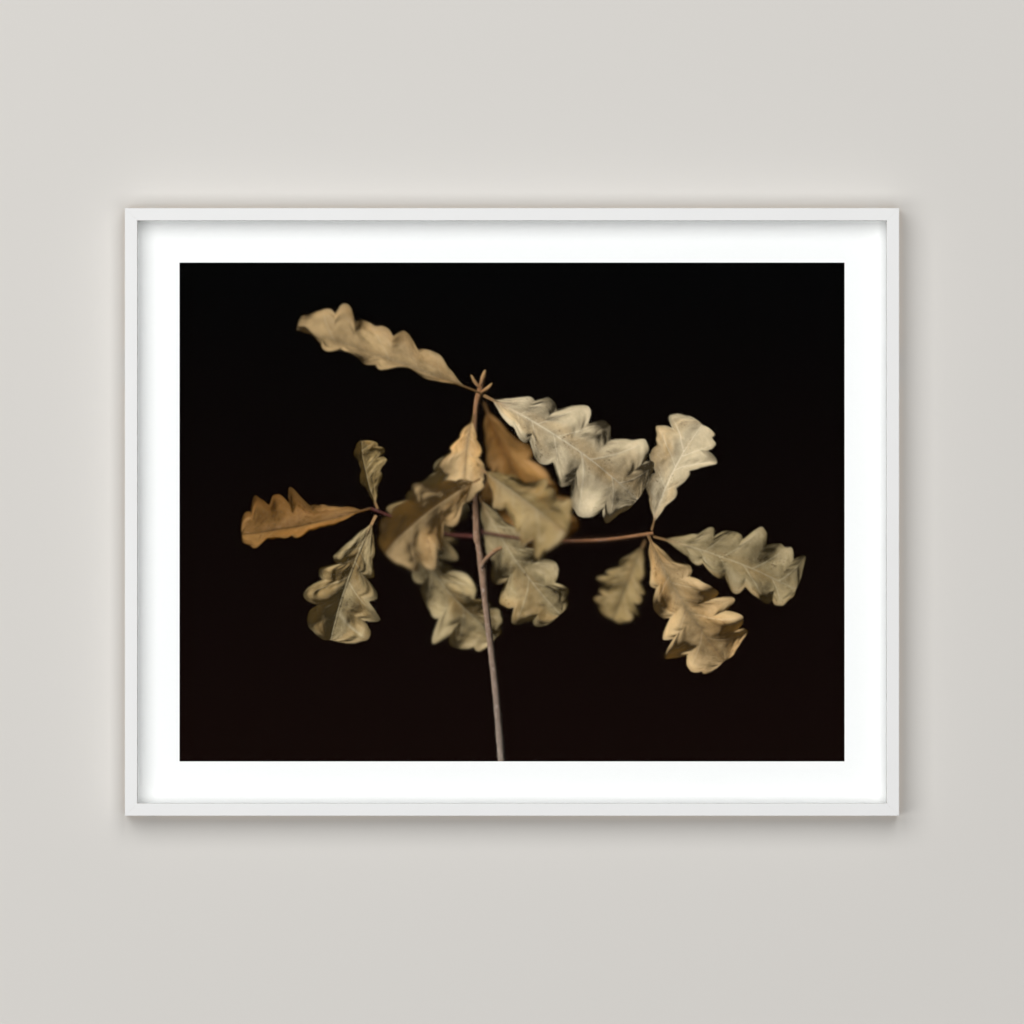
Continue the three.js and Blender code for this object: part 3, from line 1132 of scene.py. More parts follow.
    def paint(self, light: Light, step: float) -> tuple[Array, Array, Array]:
        """Light the leaf.

        Args:
            light: The still life's light.
            step: How far apart the leaf's points are.

        Returns:
            Its points, their colours in linear light and their places along it.
        """
        blade = self.blade(step)
        veins = self.veins(blade)
        points = self.embossed(blade, veins)
        normals = self.normals(points)
        facing = np.where(normals[..., 2:3] < 0, -1.0, 1.0).astype(np.float32)
        normals = normals * facing
        key = unit(np.array(light.key))
        lit = normals @ key
        groove = 0.0 if self.under else 0.30 * np.exp(-((blade.reach / (self.width * 0.05)) ** 2))
        bright = light.key_strength * held(lit * 1.04 - 0.04) * (1 - groove)
        bright = bright + light.fill * (0.3 + 0.7 * normals[..., 2])
        glow = np.array(self.tone.value.glow) * (held(-lit) + 0.10)[..., None]
        shine = light.sheen * held(normals @ unit(key + VIEWER)) ** light.sheen_power
        pigment = self.pigment(blade, veins, (self.under ^ (facing[..., 0] < 0))[..., None])
        colour = (pigment * bright[..., None] + glow + shine[..., None]) * self.bright
        return points.reshape(-1, 3), colour.reshape(-1, 3).astype(np.float32), blade.s.reshape(-1)

    def layer(self, light: Light, cell: float) -> Layer:
        """The leaf laid down on the fine grid, nearest points on top."""
        return lay_down(*self.paint(light, cell * LEAF_SPACING), cell, self.blur)


def lay_down(points: Array, colour: Array, along: Array, cell: float, blur: tuple[float, float]) -> Layer:
    """Turn points into a layer: of the points in a cell, the nearest to the viewer shows.

    Args:
        points: The points, as x, z and the distance towards the viewer.
        colour: Their colours.
        along: Their places along the leaf or twig.
        cell: The width of the grid's cells in millimetres.
        blur: How far out of focus the start and the end are.

    Returns:
        The layer.
    """
    margin = 3 + int(3.2 * max(blur) / cell)
    col = np.floor((points[:, 0] + PICTURE_WIDTH / 2) / cell).astype(np.int32)
    row = np.floor((points[:, 1] + PICTURE_HEIGHT / 2) / cell).astype(np.int32)
    x0, z0 = int(col.min()) - margin, int(row.min()) - margin
    shape = (int(row.max()) - z0 + margin + 1, int(col.max()) - x0 + margin + 1)
    order = np.argsort(points[:, 2], kind="stable")
    rows, cols = (row - z0)[order], (col - x0)[order]
    layer = Layer(
        x0, z0, np.zeros((*shape, 3), np.float32), np.zeros(shape, np.float32), np.zeros(shape, np.float32),
        float(points[:, 2].mean()), blur,
    )
    layer.rgb[rows, cols] = colour[order]
    layer.cover[rows, cols] = 1
    layer.along[rows, cols] = along[order]
    close_pinholes(layer)
    return layer


def close_pinholes(layer: Layer) -> None:
    """Fill the empty cells that most of their neighbours surround.

    Args:
        layer: The layer, which is changed.
    """
    shifts = [(i, j) for i in (-1, 0, 1) for j in (-1, 0, 1) if (i, j) != (0, 0)]
    count = sum(np.roll(layer.cover, s, (0, 1)) for s in shifts)
    hole = (layer.cover == 0) & (count >= 5)
    if not hole.any():
        return
    rows, cols = np.nonzero(hole)
    high, wide = layer.cover.shape
    near = [((rows - i) % high, (cols - j) % wide) for i, j in shifts]
    layer.rgb[hole] = sum(layer.rgb[place] for place in near) / count[hole][:, None]
    layer.along[hole] = sum(layer.along[place] for place in near) / count[hole]
    layer.cover[hole] = 1


def blurred(image: Array, sigma: float) -> Array:
    """A Gaussian blur of an image, sigma in cells.

    Args:
        image: The image, with or without channels.
        sigma: The blur's width in cells.

    Returns:
        The blurred image.
    """
    high, wide = image.shape[:2]
    fz, fx = np.fft.fftfreq(high)[:, None], np.fft.rfftfreq(wide)[None, :]
    gain = np.exp(-2 * (math.pi * sigma) ** 2 * (fz**2 + fx**2))
    if image.ndim == 3:
        gain = gain[..., None]
    return np.fft.irfft2(np.fft.rfft2(image, axes=(0, 1)) * gain, s=(high, wide), axes=(0, 1))


def focused(layer: Layer, cell: float) -> tuple[Array, Array]:
    """Blur a layer by its own amounts, from its base to its tip.

    Args:
        layer: The layer.
        cell: The width of its cells.

    Returns:
        The layer's colour times its cover, and its cover.
    """
    low, high = (max(b / cell, SHARPEST) for b in layer.blur)
    solid = np.concatenate([layer.rgb * layer.cover[..., None], layer.cover[..., None]], -1)
    if low == high:
        soft = blurred(solid, low)
    else:
        far = layer.along[..., None]
        soft = blurred(solid * (1 - far), low) + blurred(solid * far, high)
    return soft[..., :3], soft[..., 3]


@dataclass
class Twig:
    """A twig or bud through listed points, each (x, z, towards the viewer, radius) in millimetres."""

    path: list[tuple[float, float, float, float]]
    bark: Colour
    tip: Colour
    seed: int
    blur: tuple[float, float] = (0.0, 0.0)
    rough: float = 0.10

    def centre_line(self, step: float) -> Array:
        """Points and radii on a smooth curve through the path.

        Args:
            step: How far apart they may be, in millimetres.

        Returns:
            A row of x, z, distance and radius for each.
        """
        knots = np.array(self.path)
        ends = np.vstack([2 * knots[0] - knots[1], knots, 2 * knots[-1] - knots[-2]])
        pieces = []
        for p0, p1, p2, p3 in zip(ends, ends[1:], ends[2:], ends[3:]):
            count = max(4, int(np.linalg.norm((p2 - p1)[:3]) / step))
            u = np.linspace(0, 1, count, endpoint=False)[:, None]
            even = 2 * p1 + (p2 - p0) * u + (2 * p0 - 5 * p1 + 4 * p2 - p3) * u**2
            pieces.append(0.5 * (even + (3 * p1 - p0 - 3 * p2 + p3) * u**3))
        return np.vstack(pieces)

    def pigment(self, length: Array, angle: Array) -> Array:
        """The bark's colour, streaked and with pale pores.

        Args:
            length: How far along the twig each place is, in millimetres.
            angle: How far round it is.

        Returns:
            The colours.
        """
        share = (length / length[-1])[..., None]
        base = np.array(self.bark) * (1 - share) + np.array(self.tip) * share
        streak = layered_noise(length / 9, angle * 5, self.seed + 8)[..., None]
        pores = layered_noise(length / 2.2, angle * 3, self.seed + 9, 2)[..., None]
        return base * (1 + 0.35 * streak) + held(pores - 0.35) * 0.4

    def layer(self, light: Light, cell: float) -> Layer:
        """The half of the twig that faces the viewer, laid down on the fine grid.

        Args:
            light: The still life's light.
            cell: The width of the grid's cells.

        Returns:
            The layer.
        """
        line = self.centre_line(cell * TWIG_SPACING)
        centre, radius = line[:, :3], line[:, 3]
        ahead = unit(np.gradient(centre, axis=0))
        across = unit(np.cross(ahead, VIEWER))
        front = np.cross(across, ahead)
        steps = np.linalg.norm(np.diff(centre, axis=0), axis=1)
        run = np.concatenate([[0], np.cumsum(steps)])
        count = max(12, int(math.pi * radius.max() / (cell * TWIG_SPACING)))
        around = np.linspace(-math.pi / 2, math.pi / 2, count)
        length, angle = np.meshgrid(run, around, indexing="ij")
        bumps = 1 + self.rough * layered_noise(length / 6, angle * 1.6, self.seed)
        n = across[:, None] * np.sin(angle)[..., None] + front[:, None] * np.cos(angle)[..., None]
        points = centre[:, None] + n * (radius[:, None] * bumps)[..., None]
        normal = unit(n + ahead[:, None] * (1.5 * (bumps - 1))[..., None])
        bright = light.key_strength * np.clip(normal @ unit(np.array(light.key)), 0, None) + light.fill
        colour = self.pigment(length, angle) * bright[..., None]
        share = (length / run[-1]).reshape(-1)
        return lay_down(points.reshape(-1, 3), colour.reshape(-1, 3), share, cell, self.blur)


@dataclass
class StillLife:
    """Leaves and twigs before a dark ground, painted back to front."""

    leaves: list[Leaf]
    twigs: list[Twig]
    light: Light = field(default_factory=Light)
    shadow: float = 0.44
    shadow_distances: tuple[float, float] = (8.0, 24.0)
    shadow_blur: float = 0.42
    shadow_slant: float = 0.62
    ground: Colour = (0.0042, 0.0014, 0.0009)

    def painted(self, cell: float) -> Array:
        """Paint the picture.

        Args:
            cell: The width of a cell of its grid.

        Returns:
            Its colours in linear light, row 0 at the bottom.
        """
        wide, high = int(PICTURE_WIDTH / cell), int(PICTURE_HEIGHT / cell)
        canvas = np.zeros((high, wide, 3))
        cover = np.zeros((high, wide))
        layers = [piece.layer(self.light, cell) for piece in [*self.leaves, *self.twigs]]
        for layer in sorted(layers, key=lambda one: one.depth):
            rgb, alpha = focused(layer, cell)
            self.shade(canvas, layer, alpha, cell)
            self.over(canvas, cover, layer, rgb, alpha)
        rise = np.linspace(0, 1, high)[:, None, None]
        ground = np.array(self.ground) * (1 - rise) ** 1.4
        return canvas + ground * (1 - cover[..., None])

    def window(
        self, layer: Layer, shape: Sequence[int], right: int = 0, up: int = 0
    ) -> tuple[Slices, Slices]:
        """Where the canvas and a layer overlap.

        Args:
            layer: The layer.
            shape: The canvas's shape.
            right: How many cells the layer is moved to the right.
            up: How many cells it is moved up.

        Returns:
            The slices of the canvas, and those of the layer. They are empty if the two don't meet.
        """
        high, wide = shape[:2]
        x0, z0 = layer.x0 + right, layer.z0 + up
        h, w = layer.cover.shape
        a, c = max(0, x0), max(0, z0)
        b, d = max(a, min(wide, x0 + w)), max(c, min(high, z0 + h))
        return (slice(c, d), slice(a, b)), (slice(c - z0, d - z0), slice(a - x0, b - x0))

    def shade(self, canvas: Array, layer: Layer, alpha: Array, cell: float) -> None:
        """Darken what is behind a layer where it stands in the light's way.

        Args:
            canvas: The canvas, which is changed.
            layer: The layer.
            alpha: How much the layer covers each of its cells.
            cell: The width of a cell.
        """
        for distance in self.shadow_distances:
            soft = blurred(alpha, distance * self.shadow_blur / cell)
            aside = int(distance * self.shadow_slant / cell)
            here, there = self.window(layer, canvas.shape, aside, -aside)
            canvas[here] *= 1 - self.shadow * held(soft[there])[..., None]

    def over(self, canvas: Array, cover: Array, layer: Layer, rgb: Array, alpha: Array) -> None:
        """Lay a layer over the canvas.

        Args:
            canvas: The canvas, which is changed.
            cover: How much of the ground is covered so far, which is changed.
            layer: The layer.
            rgb: The layer's colours times its cover.
            alpha: Its cover.
        """
        here, there = self.window(layer, canvas.shape)
        keep = 1 - held(alpha[there])
        canvas[here] = canvas[here] * keep[..., None] + np.clip(rgb[there], 0, None)
        cover[here] = 1 - (1 - cover[here]) * keep


def oak_sprig() -> StillLife:
    """A dried shoot of oak: one upright stem, two side shoots and their leaves.

    Returns:
        The still life, its lengths in millimetres of the picture.
    """
    ochre, pale, olive, amber = Dried.OCHRE, Dried.PALE, Dried.OLIVE, Dried.AMBER
    top = [
        Leaf(
            (-36, 142, 4), 158, 236, 112, ochre, seed=12, pitch=6, roll=42, bend=6, droop=8, twist=20,
            fold=20, curl=0.12, wave=0.17, lobes=6.0, blur=(0.0, 0.8), bright=0.78, stalk=24,
        ),
        Leaf(
            (-34, 140, 10), -26, 226, 126, pale, seed=23, pitch=12, roll=-18, bend=-18, droop=30,
            curl=-0.12, wave=0.16, lobes=6.0, under=True, stalk=12,
        ),
        Leaf(
            (-34, 132, -26), -68, 196, 112, amber, seed=31, pitch=-6, roll=16, bend=10, droop=10,
            fold=18, wave=0.2, blur=(1.4, 2.0), stalk=12,
        ),
    ]
    right = [
        Leaf(
            (168, -22, 0), 74, 142, 100, pale, seed=43, pitch=4, roll=-34, bend=-22, droop=12,
            fold=18, wave=0.18, under=True, bright=0.9, stalk=12,
        ),
        Leaf(
            (164, -28, 18), -66, 178, 108, ochre, seed=51, pitch=6, roll=20, bend=16, droop=20,
            fold=10, curl=-0.1, wave=0.2, lobes=6.0, stalk=8,
        ),
        Leaf(
            (170, -30, -14), -14, 184, 98, olive, seed=67, pitch=-4, roll=-28, bend=-14, droop=6,
            fold=16, wave=0.18, lobes=6.0, under=True, blur=(0.5, 0.3), stalk=14,
        ),
        Leaf(
            (160, -34, -26), -112, 104, 76, olive, seed=71, pitch=-10, roll=30, fold=14,
            lobes=6.4, blur=(1.4, 1.6),
        ),
    ]
    left = [
        Leaf(
            (-170, 4, 2), 196, 158, 84, amber, seed=83, pitch=4, roll=52, bend=-10, droop=8, twist=-24,
            fold=24, curl=0.25, wave=0.15, bright=0.74, stalk=10,
        ),
        Leaf(
            (-164, -4, -4), 244, 160, 98, olive, seed=97, pitch=2, roll=-18, bend=14, droop=14,
            wave=0.16, under=True, bright=1.25, stalk=12,
        ),
        Leaf(
            (-162, 4, 8), 112, 84, 58, olive, seed=101, pitch=6, roll=44, bend=-20, fold=26,
            lobes=4.4, bright=1.4, stalk=8,
        ),
        Leaf(
            (-132, -18, -20), -58, 176, 94, olive, seed=107, pitch=-8, roll=34, bend=18, fold=20,
            wave=0.22, under=True, blur=(1.4, 0.8), bright=1.2, stalk=12,
        ),
    ]
    middle = [
        Leaf(
            (-44, 98, -18), 236, 172, 116, olive, seed=113, pitch=-4, roll=-30, bend=14, droop=6,
            fold=14, wave=0.18, under=True, blur=(0.8, 1.2), bright=1.25,
        ),
        Leaf(
            (-42, 24, -10), -64, 178, 104, olive, seed=127, pitch=4, roll=26, bend=18, droop=10,
            fold=14, wave=0.2, under=True, blur=(1.0, 0.5), bright=1.2, stalk=12,
        ),
        Leaf(
            (-38, 40, 30), 208, 156, 110, ochre, seed=131, pitch=26, roll=-28, bend=22, droop=14,
            fold=16, wave=0.2, blur=(0.8, 1.7), bright=0.95,
        ),
        Leaf(
            (-38, 52, 44), -34, 146, 104, olive, seed=139, pitch=30, roll=24, bend=-6, droop=6,
            fold=18, wave=0.2, blur=(1.0, 2.0), bright=1.15,
        ),
        Leaf(
            (-46, 118, 26), 258, 112, 80, ochre, seed=149, pitch=18, roll=32, bend=14, droop=4,
            fold=22, wave=0.22, lobes=4.4, blur=(0.5, 1.2),
        ),
    ]
    grey, red, brown = (0.30, 0.235, 0.19), (0.14, 0.045, 0.035), (0.33, 0.16, 0.07)
    bud, bark = (0.50, 0.30, 0.13), (0.26, 0.17, 0.115)
    stem = [
        (-12, -304, 0, 4.2), (-20, -210, 2, 3.9), (-31, -116, 4, 3.7), (-36, -66, 5, 4.7),
        (-40, -40, 6, 3.6), (-42, -26, 6, 4.5), (-44, 40, 4, 3.0), (-44, 118, 2, 2.7),
        (-38, 146, 2, 3.9), (-35, 158, 4, 2.2),
    ]
    buds = {
        11: [(-38, 152, 6, 1.2), (-35, 160, 8, 2.6), (-33, 167, 8, 1.8), (-32, 171, 8, 0.5)],
        12: [(-39, 150, 6, 1.2), (-44, 156, 7, 2.2), (-47, 161, 7, 1.5), (-49, 165, 7, 0.4)],
        13: [(-37, 144, 8, 1.2), (-30, 148, 10, 2.0), (-26, 152, 10, 1.3), (-24, 155, 10, 0.4)],
    }
    stub = [(-37, -67, 7, 2.2), (-31, -57, 10, 2.6), (-20, -47, 14, 2.1), (-12, -43, 17, 1.6)]
    left_shoot = [(-42, -30, 0, 2.4), (-84, -26, -6, 2.0), (-128, -12, -4, 1.8), (-170, 4, 0, 2.0)]
    right_shoot = [(-42, -24, -2, 2.4), (30, -34, -10, 2.0), (106, -34, -6, 1.9), (170, -26, 0, 2.2)]
    twigs = [
        Twig(stem, grey, brown, seed=5),
        *(Twig(path, brown, bud, seed=seed, rough=0.3) for seed, path in buds.items()),
        Twig(stub, bark, brown, seed=7, blur=(0.3, 0.9)),
        Twig(left_shoot, red, red, seed=9, blur=(1.4, 0.3)),
        Twig(right_shoot, red, brown, seed=10, blur=(1.8, 0.2)),
    ]
    return StillLife([*top, *right, *left, *middle], twigs)


# -------------------- sub-assemblies


@dataclass
class Moulding:
    """The four mitred rails, with a lip over the glass and slots for the nails in their backs."""

    lip: float = 4 * MM
    lip_depth: float = 5 * MM
    mitre_gap: float = 0.05 * MM
    front_round: float = 0.9 * MM
    sight_round: float = 0.6 * MM
    back_round: float = 0.5 * MM
    hidden_round: float = 0.25 * MM
    paint_margin: float = 0.3 * MM
    slot_room: float = 0.25 * MM
    slot_proud: float = 0.8 * MM
    arc_steps: int = 5
    stations: int = 12

    def section(self, face: float, front: float, back: float) -> Array:
        """The rail's section, its first number the distance in from the frame's outer edge.

        Args:
            face: The rail's width at the front.
            front: The level of its front.
            back: The level of its back.

        Returns:
            The outline's points.
        """
        wall, ledge = face - self.lip, front + self.lip_depth
        corners = [(0, front), (face, front), (face, ledge), (wall, ledge), (wall, back), (0, back)]
        radii = [self.front_round, self.sight_round, *[self.hidden_round] * 3, self.back_round]
        return rounded_corners(corners, radii, self.arc_steps)

    def mark_bare(self, rail: bpy.types.Object, edge: Edge) -> None:
        """Mark where the paint stops: the back, the nails' slots and the inside of the rebate.

        Args:
            rail: The rail, which gets the mark as an attribute.
            edge: The edge that it is for.
        """
        low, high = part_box("rail_top")
        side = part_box("rail_right")[1].x
        places = np.array([edge.turn.inverted() @ v.co for v in rail.data.vertices])
        inset = (side if edge.upright else high.z) - places[:, 2]
        wall, ledge = high.z - low.z - self.lip, low.y + self.lip_depth
        rebate = (inset > wall - self.paint_margin) & (places[:, 1] > ledge - self.paint_margin)
        bare = rebate | (places[:, 1] > high.y - self.paint_margin)
        paint = rail.data.attributes.new("bare", "FLOAT", "POINT")
        paint.data.foreach_set("value", bare.astype(np.float32))

    def rail(self, edge: Edge) -> bpy.types.Object:
        """One rail, run along its edge from mitre to mitre.

        Args:
            edge: The edge that it is for.

        Returns:
            The rail.
        """
        low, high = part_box("rail_top")
        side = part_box("rail_right")[1].x
        outline = self.section(high.z - low.z, low.y, high.y)
        half, reach = (high.z, side) if edge.upright else (side, high.z)
        rows = []
        for share in np.linspace(-1, 1, self.stations):
            along = share * (half - outline[:, 0] - self.mitre_gap)
            rows.append(np.column_stack([along, outline[:, 1], reach - outline[:, 0]]))
        turned = np.array(rows) @ np.array(edge.turn.to_3x3()).T
        return mesh_object(f"moulding_{edge.label}", *skin(turned, closed=False))

    def build(self, nails: "CornerNails") -> None:
        """Make the rails and cut the nails' slots.

        Args:
            nails: The nails, whose own shape, a little larger, is the cutter.
        """
        cutter = nails.shape("nail_slots", self.slot_room, self.slot_proud)
        for edge in Edge:
            rail = self.rail(edge)
            cut_away(rail, cutter)
            weigh_normals(rail)
            self.mark_bare(rail, edge)
            finish = Finishes.PAINT_UPRIGHT if edge.upright else Finishes.PAINT_ACROSS
            rail.data.materials.clear()
            place_piece(rail, finish, ROOT, [f"rail_{edge.label}"])
        bpy.data.objects.remove(cutter)


@dataclass
class CornerNails:
    """The V-shaped nails pressed across each mitre from the back."""

    thickness: float = 0.6 * MM
    leg: float = 6.5 * MM

    def tree(self, sizes: dict[str, float]) -> RepeatTree:
        """A strip folded square at its middle, its edges ground to a bevel at the front.

        Args:
            sizes: Its lengths, by their names as inputs.

        Returns:
            The tree.
        """
        made = RepeatTree("corner_nail", sizes, Finishes.SPRING)
        g, inputs = made.graph, made.inputs
        length = g.math("MULTIPLY", inputs["Leg"], 2.0)
        strip = made.block((length, inputs["Thickness"], inputs["Depth"]), points=(25, 3, 7))
        along, across, deep = made.parts()
        tip = g.ramp(g.math("DIVIDE", deep, inputs["Depth"]), 0.5, 0.30, (0.25, 1.0))
        across = g.math("MULTIPLY", across, tip)
        first = g.math("ADD", across, g.math("MINIMUM", along, 0.0))
        second = g.math("SUBTRACT", across, g.math("MAXIMUM", along, 0.0))
        made.finish(made.moved(strip, first, second, deep))
        return made

    def places(self) -> list[Matrix]:
        """Each corner's nail: its legs run along the two rails, away from the corner.

        Returns:
            Where each nail stands and how it is turned.
        """
        inset = self.thickness / 2
        found = []
        for turns, label in enumerate(("top_right", "bottom_right", "bottom_left", "top_left")):
            low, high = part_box(f"nail_{label}")
            x = high.x - inset if "right" in label else low.x + inset
            z = high.z - inset if "top" in label else low.z + inset
            turn = Matrix.Rotation(turns * math.pi / 2, 4, "Y") @ FACING_FRONT
            found.append(Matrix.Translation((x, (low.y + high.y) / 2, z)) @ turn)
        return found

    def shape(self, name: str, room: float = 0.0, proud: float = 0.0) -> bpy.types.Object:
        """The four nails as one mesh.

        Args:
            name: The mesh's name.
            room: How much it is grown all round, for a cutter.
            proud: How far it is lengthened towards the wall, for a cutter.

        Returns:
            The object.
        """
        low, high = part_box("nail_top_left")
        depth = high.y - low.y + room + 2 * proud
        sizes = lengths(self, leg=self.leg + room, thickness=self.thickness + 2 * room, depth=depth)
        return self.tree(sizes).made(name, self.places())

    def build(self) -> None:
        """Make the nails."""
        place_piece(self.shape("corner_nails"), Finishes.SPRING, ROOT, at_corners("nail"))


@dataclass
class BackTabs:
    """The flexible tabs driven into the rebate that hold the backing board."""

    width: float = 10 * MM
    length: float = 22 * MM
    thickness: float = 0.5 * MM
    lift: float = 1.3 * MM
    point: float = 3.4 * MM
    rib: float = 0.45 * MM

    def tree(self) -> RepeatTree:
        """A flat strip with a point at one end, a round end at the other, a pressed rib and a bend.

        Returns:
            The tree.
        """
        made = RepeatTree("back_tab", lengths(self), Finishes.SPRING)
        g, inputs = made.graph, made.inputs
        size = (inputs["Width"], inputs["Length"], inputs["Thickness"])
        strip = made.block(size, points=(15, 39, 2))
        x, y, z = made.parts()
        end = g.math("MULTIPLY", inputs["Length"], 0.5)
        half = g.math("MULTIPLY", inputs["Width"], 0.5)
        to_tip = g.math("DIVIDE", g.math("SUBTRACT", end, y), inputs["Point"])
        point = g.math("MINIMUM", g.math("MAXIMUM", to_tip, 0.06), 1.0)
        from_end = g.math("DIVIDE", g.math("ADD", end, y), half)
        inner = g.math("SUBTRACT", 1.0, g.math("MINIMUM", from_end, 1.0))
        circle = g.math("SQRT", g.math("SUBTRACT", 1.04, g.math("MULTIPLY", inner, inner)))
        across = g.math("MULTIPLY", x, g.math("MULTIPLY", point, g.math("MINIMUM", circle, 1.0)))
        along = g.math("DIVIDE", y, inputs["Length"])
        bend = g.ramp(along, 0.10, -0.62)
        off_rib = g.math("DIVIDE", x, g.math("MULTIPLY", inputs["Width"], 0.16))
        ridge = g.math("EXPONENT", g.math("MULTIPLY", g.math("MULTIPLY", off_rib, off_rib), -1.0))
        kept = g.ramp(g.math("ABSOLUTE", along), 0.34, 0.22)
        rib = g.math("MULTIPLY", g.math("MULTIPLY", ridge, kept), inputs["Rib"])
        up = g.math("ADD", g.math("ADD", z, g.math("MULTIPLY", bend, inputs["Lift"])), rib)
        made.finish(made.moved(strip, across, y, up))
        return made

    def build(self) -> None:
        """Make all the tabs as one piece."""
        to_wall = Matrix(((-1, 0, 0, 0), (0, 0, 1, 0), (0, 1, 0, 0), (0, 0, 0, 1)))
        places, nodes = [], []
        for node in sorted(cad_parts):
            edge = next((e for e in Edge if node.startswith(f"tab_{e.label}_")), None)
            if edge:
                places.append(Matrix.Translation(centre_of(node)) @ edge.turn @ to_wall)
                nodes.append(node)
        place_piece(self.tree().made("flexible_tabs", places), Finishes.SPRING, ROOT, nodes)


@dataclass
class WallPads:
    """The soft pads on the back that rest on the wall."""

    rounding: float = 1.1 * MM
    dimple: float = 0.35 * MM

    def tree(self, radius: float, height: float) -> RepeatTree:
        """A low disc with a rounded rim, slightly hollow in the middle.

        Args:
            radius: The pad's radius.
            height: Its height.

        Returns:
            The tree.
        """
        made = RepeatTree("wall_pad", lengths(self, radius=radius, height=height), Finishes.RUBBER)
        g, inputs = made.graph, made.inputs
        disc = made.cylinder("Radius", "Height", pieces=(56, 12, 9))
        x, y, z = made.parts()
        level, far = made.level(z, "Height"), made.far(x, y, "Radius")
        draw = g.math("DIVIDE", inputs["Rounding"], inputs["Radius"])
        shrink = g.math("SUBTRACT", 1.0, g.math("MULTIPLY", g.math("POWER", level, 5.0), draw))
        top = g.ramp(level, 0.98, 1.0)
        hollow = g.math("MULTIPLY", g.ramp(far, 0.62, 0.30), top)
        rim = g.math("MULTIPLY", g.ramp(far, 0.84, 1.0), top)
        sunk = g.math("MULTIPLY", g.math("ADD", hollow, g.math("MULTIPLY", rim, 0.8)), inputs["Dimple"])
        made.finish(made.drawn(disc, x, y, shrink, g.math("SUBTRACT", z, sunk)))
        return made

    def build(self) -> None:
        """Make the four pads as one piece."""
        nodes = at_corners("bumper")
        low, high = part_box(nodes[0])
        places = [Matrix.Translation(centre_of(node)) @ FACING_WALL for node in nodes]
        pads = self.tree((high.x - low.x) / 2, high.y - low.y).made("wall_pads", places)
        place_piece(pads, Finishes.RUBBER, ROOT, nodes)


@dataclass
class HangerScrews:
    """The pan-head screws that hold the hangers to the sides."""

    head_height: float = 1.6 * MM
    shank_radius: float = 1.3 * MM
    pitch: float = 1.1 * MM
    slot_width: float = 0.75 * MM
    slot_length: float = 3.1 * MM
    slot_depth: float = 1.0 * MM
    drive_turns: tuple[float, ...] = (12.0, 41.0, 67.0, 23.0)

    def tree(self, head: float, length: float) -> RepeatTree:
        """A domed head with a cross cut in it, and a tapered shank with a thread below.

        Args:
            head: The head's radius.
            length: The shank's length.

        Returns:
            The tree.
        """
        sizes = lengths(self, head_radius=head, shank_length=length)
        made = RepeatTree("hanger_screw", sizes, Finishes.ZINC)
        parts = made.graph.add("GeometryNodeJoinGeometry")
        for part in (self.shank_mesh(made), self.head_mesh(made)):
            made.group.links.new(part, parts.inputs[0])
        made.finish(parts.outputs[0])
        return made

    def head_mesh(self, made: RepeatTree) -> Socket:
        """The head, its underside at zero, with its cross recess.

        Args:
            made: The screw's tree, which is added to.

        Returns:
            The head's mesh.
        """
        g, inputs = made.graph, made.inputs
        disc = made.cylinder("Head radius", "Head height", pieces=(48, 10, 6))
        x, y, z = made.parts()
        level, far = made.level(z, "Head height"), made.far(x, y, "Head radius")
        dome = g.math("MULTIPLY", g.math("POWER", level, 3.0), 0.55)
        shrink = g.math("SQRT", g.math("SUBTRACT", 1.0, dome))
        fall = g.math("MULTIPLY", g.math("MULTIPLY", far, far), g.math("MULTIPLY", level, 0.22))
        up = g.math("MULTIPLY", g.math("SUBTRACT", level, fall), inputs["Head height"])
        head = made.drawn(disc, x, y, shrink, up)
        recess = g.add("GeometryNodeMeshBoolean", {"Mesh 1": head}, operation="DIFFERENCE", solver="EXACT")
        deep = g.math("MULTIPLY", inputs["Slot depth"], 2.0)
        top = g.add("ShaderNodeCombineXYZ", {2: inputs["Head height"]}).outputs[0]
        for first, second in (("Slot length", "Slot width"), ("Slot width", "Slot length")):
            bar = made.block((inputs[first], inputs[second], deep), points=(2, 2, 2))
            cut = g.add("GeometryNodeTransform", {"Geometry": bar, "Translation": top}).outputs[0]
            made.group.links.new(cut, recess.inputs["Mesh 2"])
        return recess.outputs[0]

    def shank_mesh(self, made: RepeatTree) -> Socket:
        """The shank, its top at zero, drawn to a point, with a ridge that winds round it.

        Args:
            made: The screw's tree, which is added to.

        Returns:
            The shank's mesh.
        """
        g, inputs = made.graph, made.inputs
        rod = made.cylinder("Shank radius", "Shank length", pieces=(24, 60, 1))
        x, y, z = made.parts()
        taper = g.ramp(made.level(z, "Shank length"), 0.0, 0.34, (0.06, 1.0))
        wound = g.math("MULTIPLY", g.math("DIVIDE", z, inputs["Pitch"]), math.tau)
        ridge = g.math("SINE", g.math("ADD", g.math("ARCTAN2", y, x), wound))
        size = g.math("MULTIPLY", taper, g.math("MULTIPLY_ADD", ridge, 0.13, 0.87))
        up = g.math("SUBTRACT", z, g.math("MULTIPLY", inputs["Shank length"], 0.498))
        return made.drawn(rod, x, y, size, up)

    def build(self) -> None:
        """Make the four screws as one piece."""
        nodes = [f"screw_{side}_{i}" for side in ("left", "right") for i in (1, 2)]
        places = []
        for node, degrees in zip(nodes, self.drive_turns):
            low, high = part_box(node)
            middle = (low + high) / 2
            seat = Vector((middle.x, high.y - self.head_height, middle.z))
            turn = FACING_WALL @ Matrix.Rotation(math.radians(degrees), 4, "Z")
            places.append(Matrix.Translation(seat) @ turn)
        low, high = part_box(nodes[0])
        tree = self.tree((high.x - low.x) / 2, high.y - low.y - self.head_height)
        place_piece(tree.made("hanger_screws", places), Finishes.ZINC, ROOT, nodes)


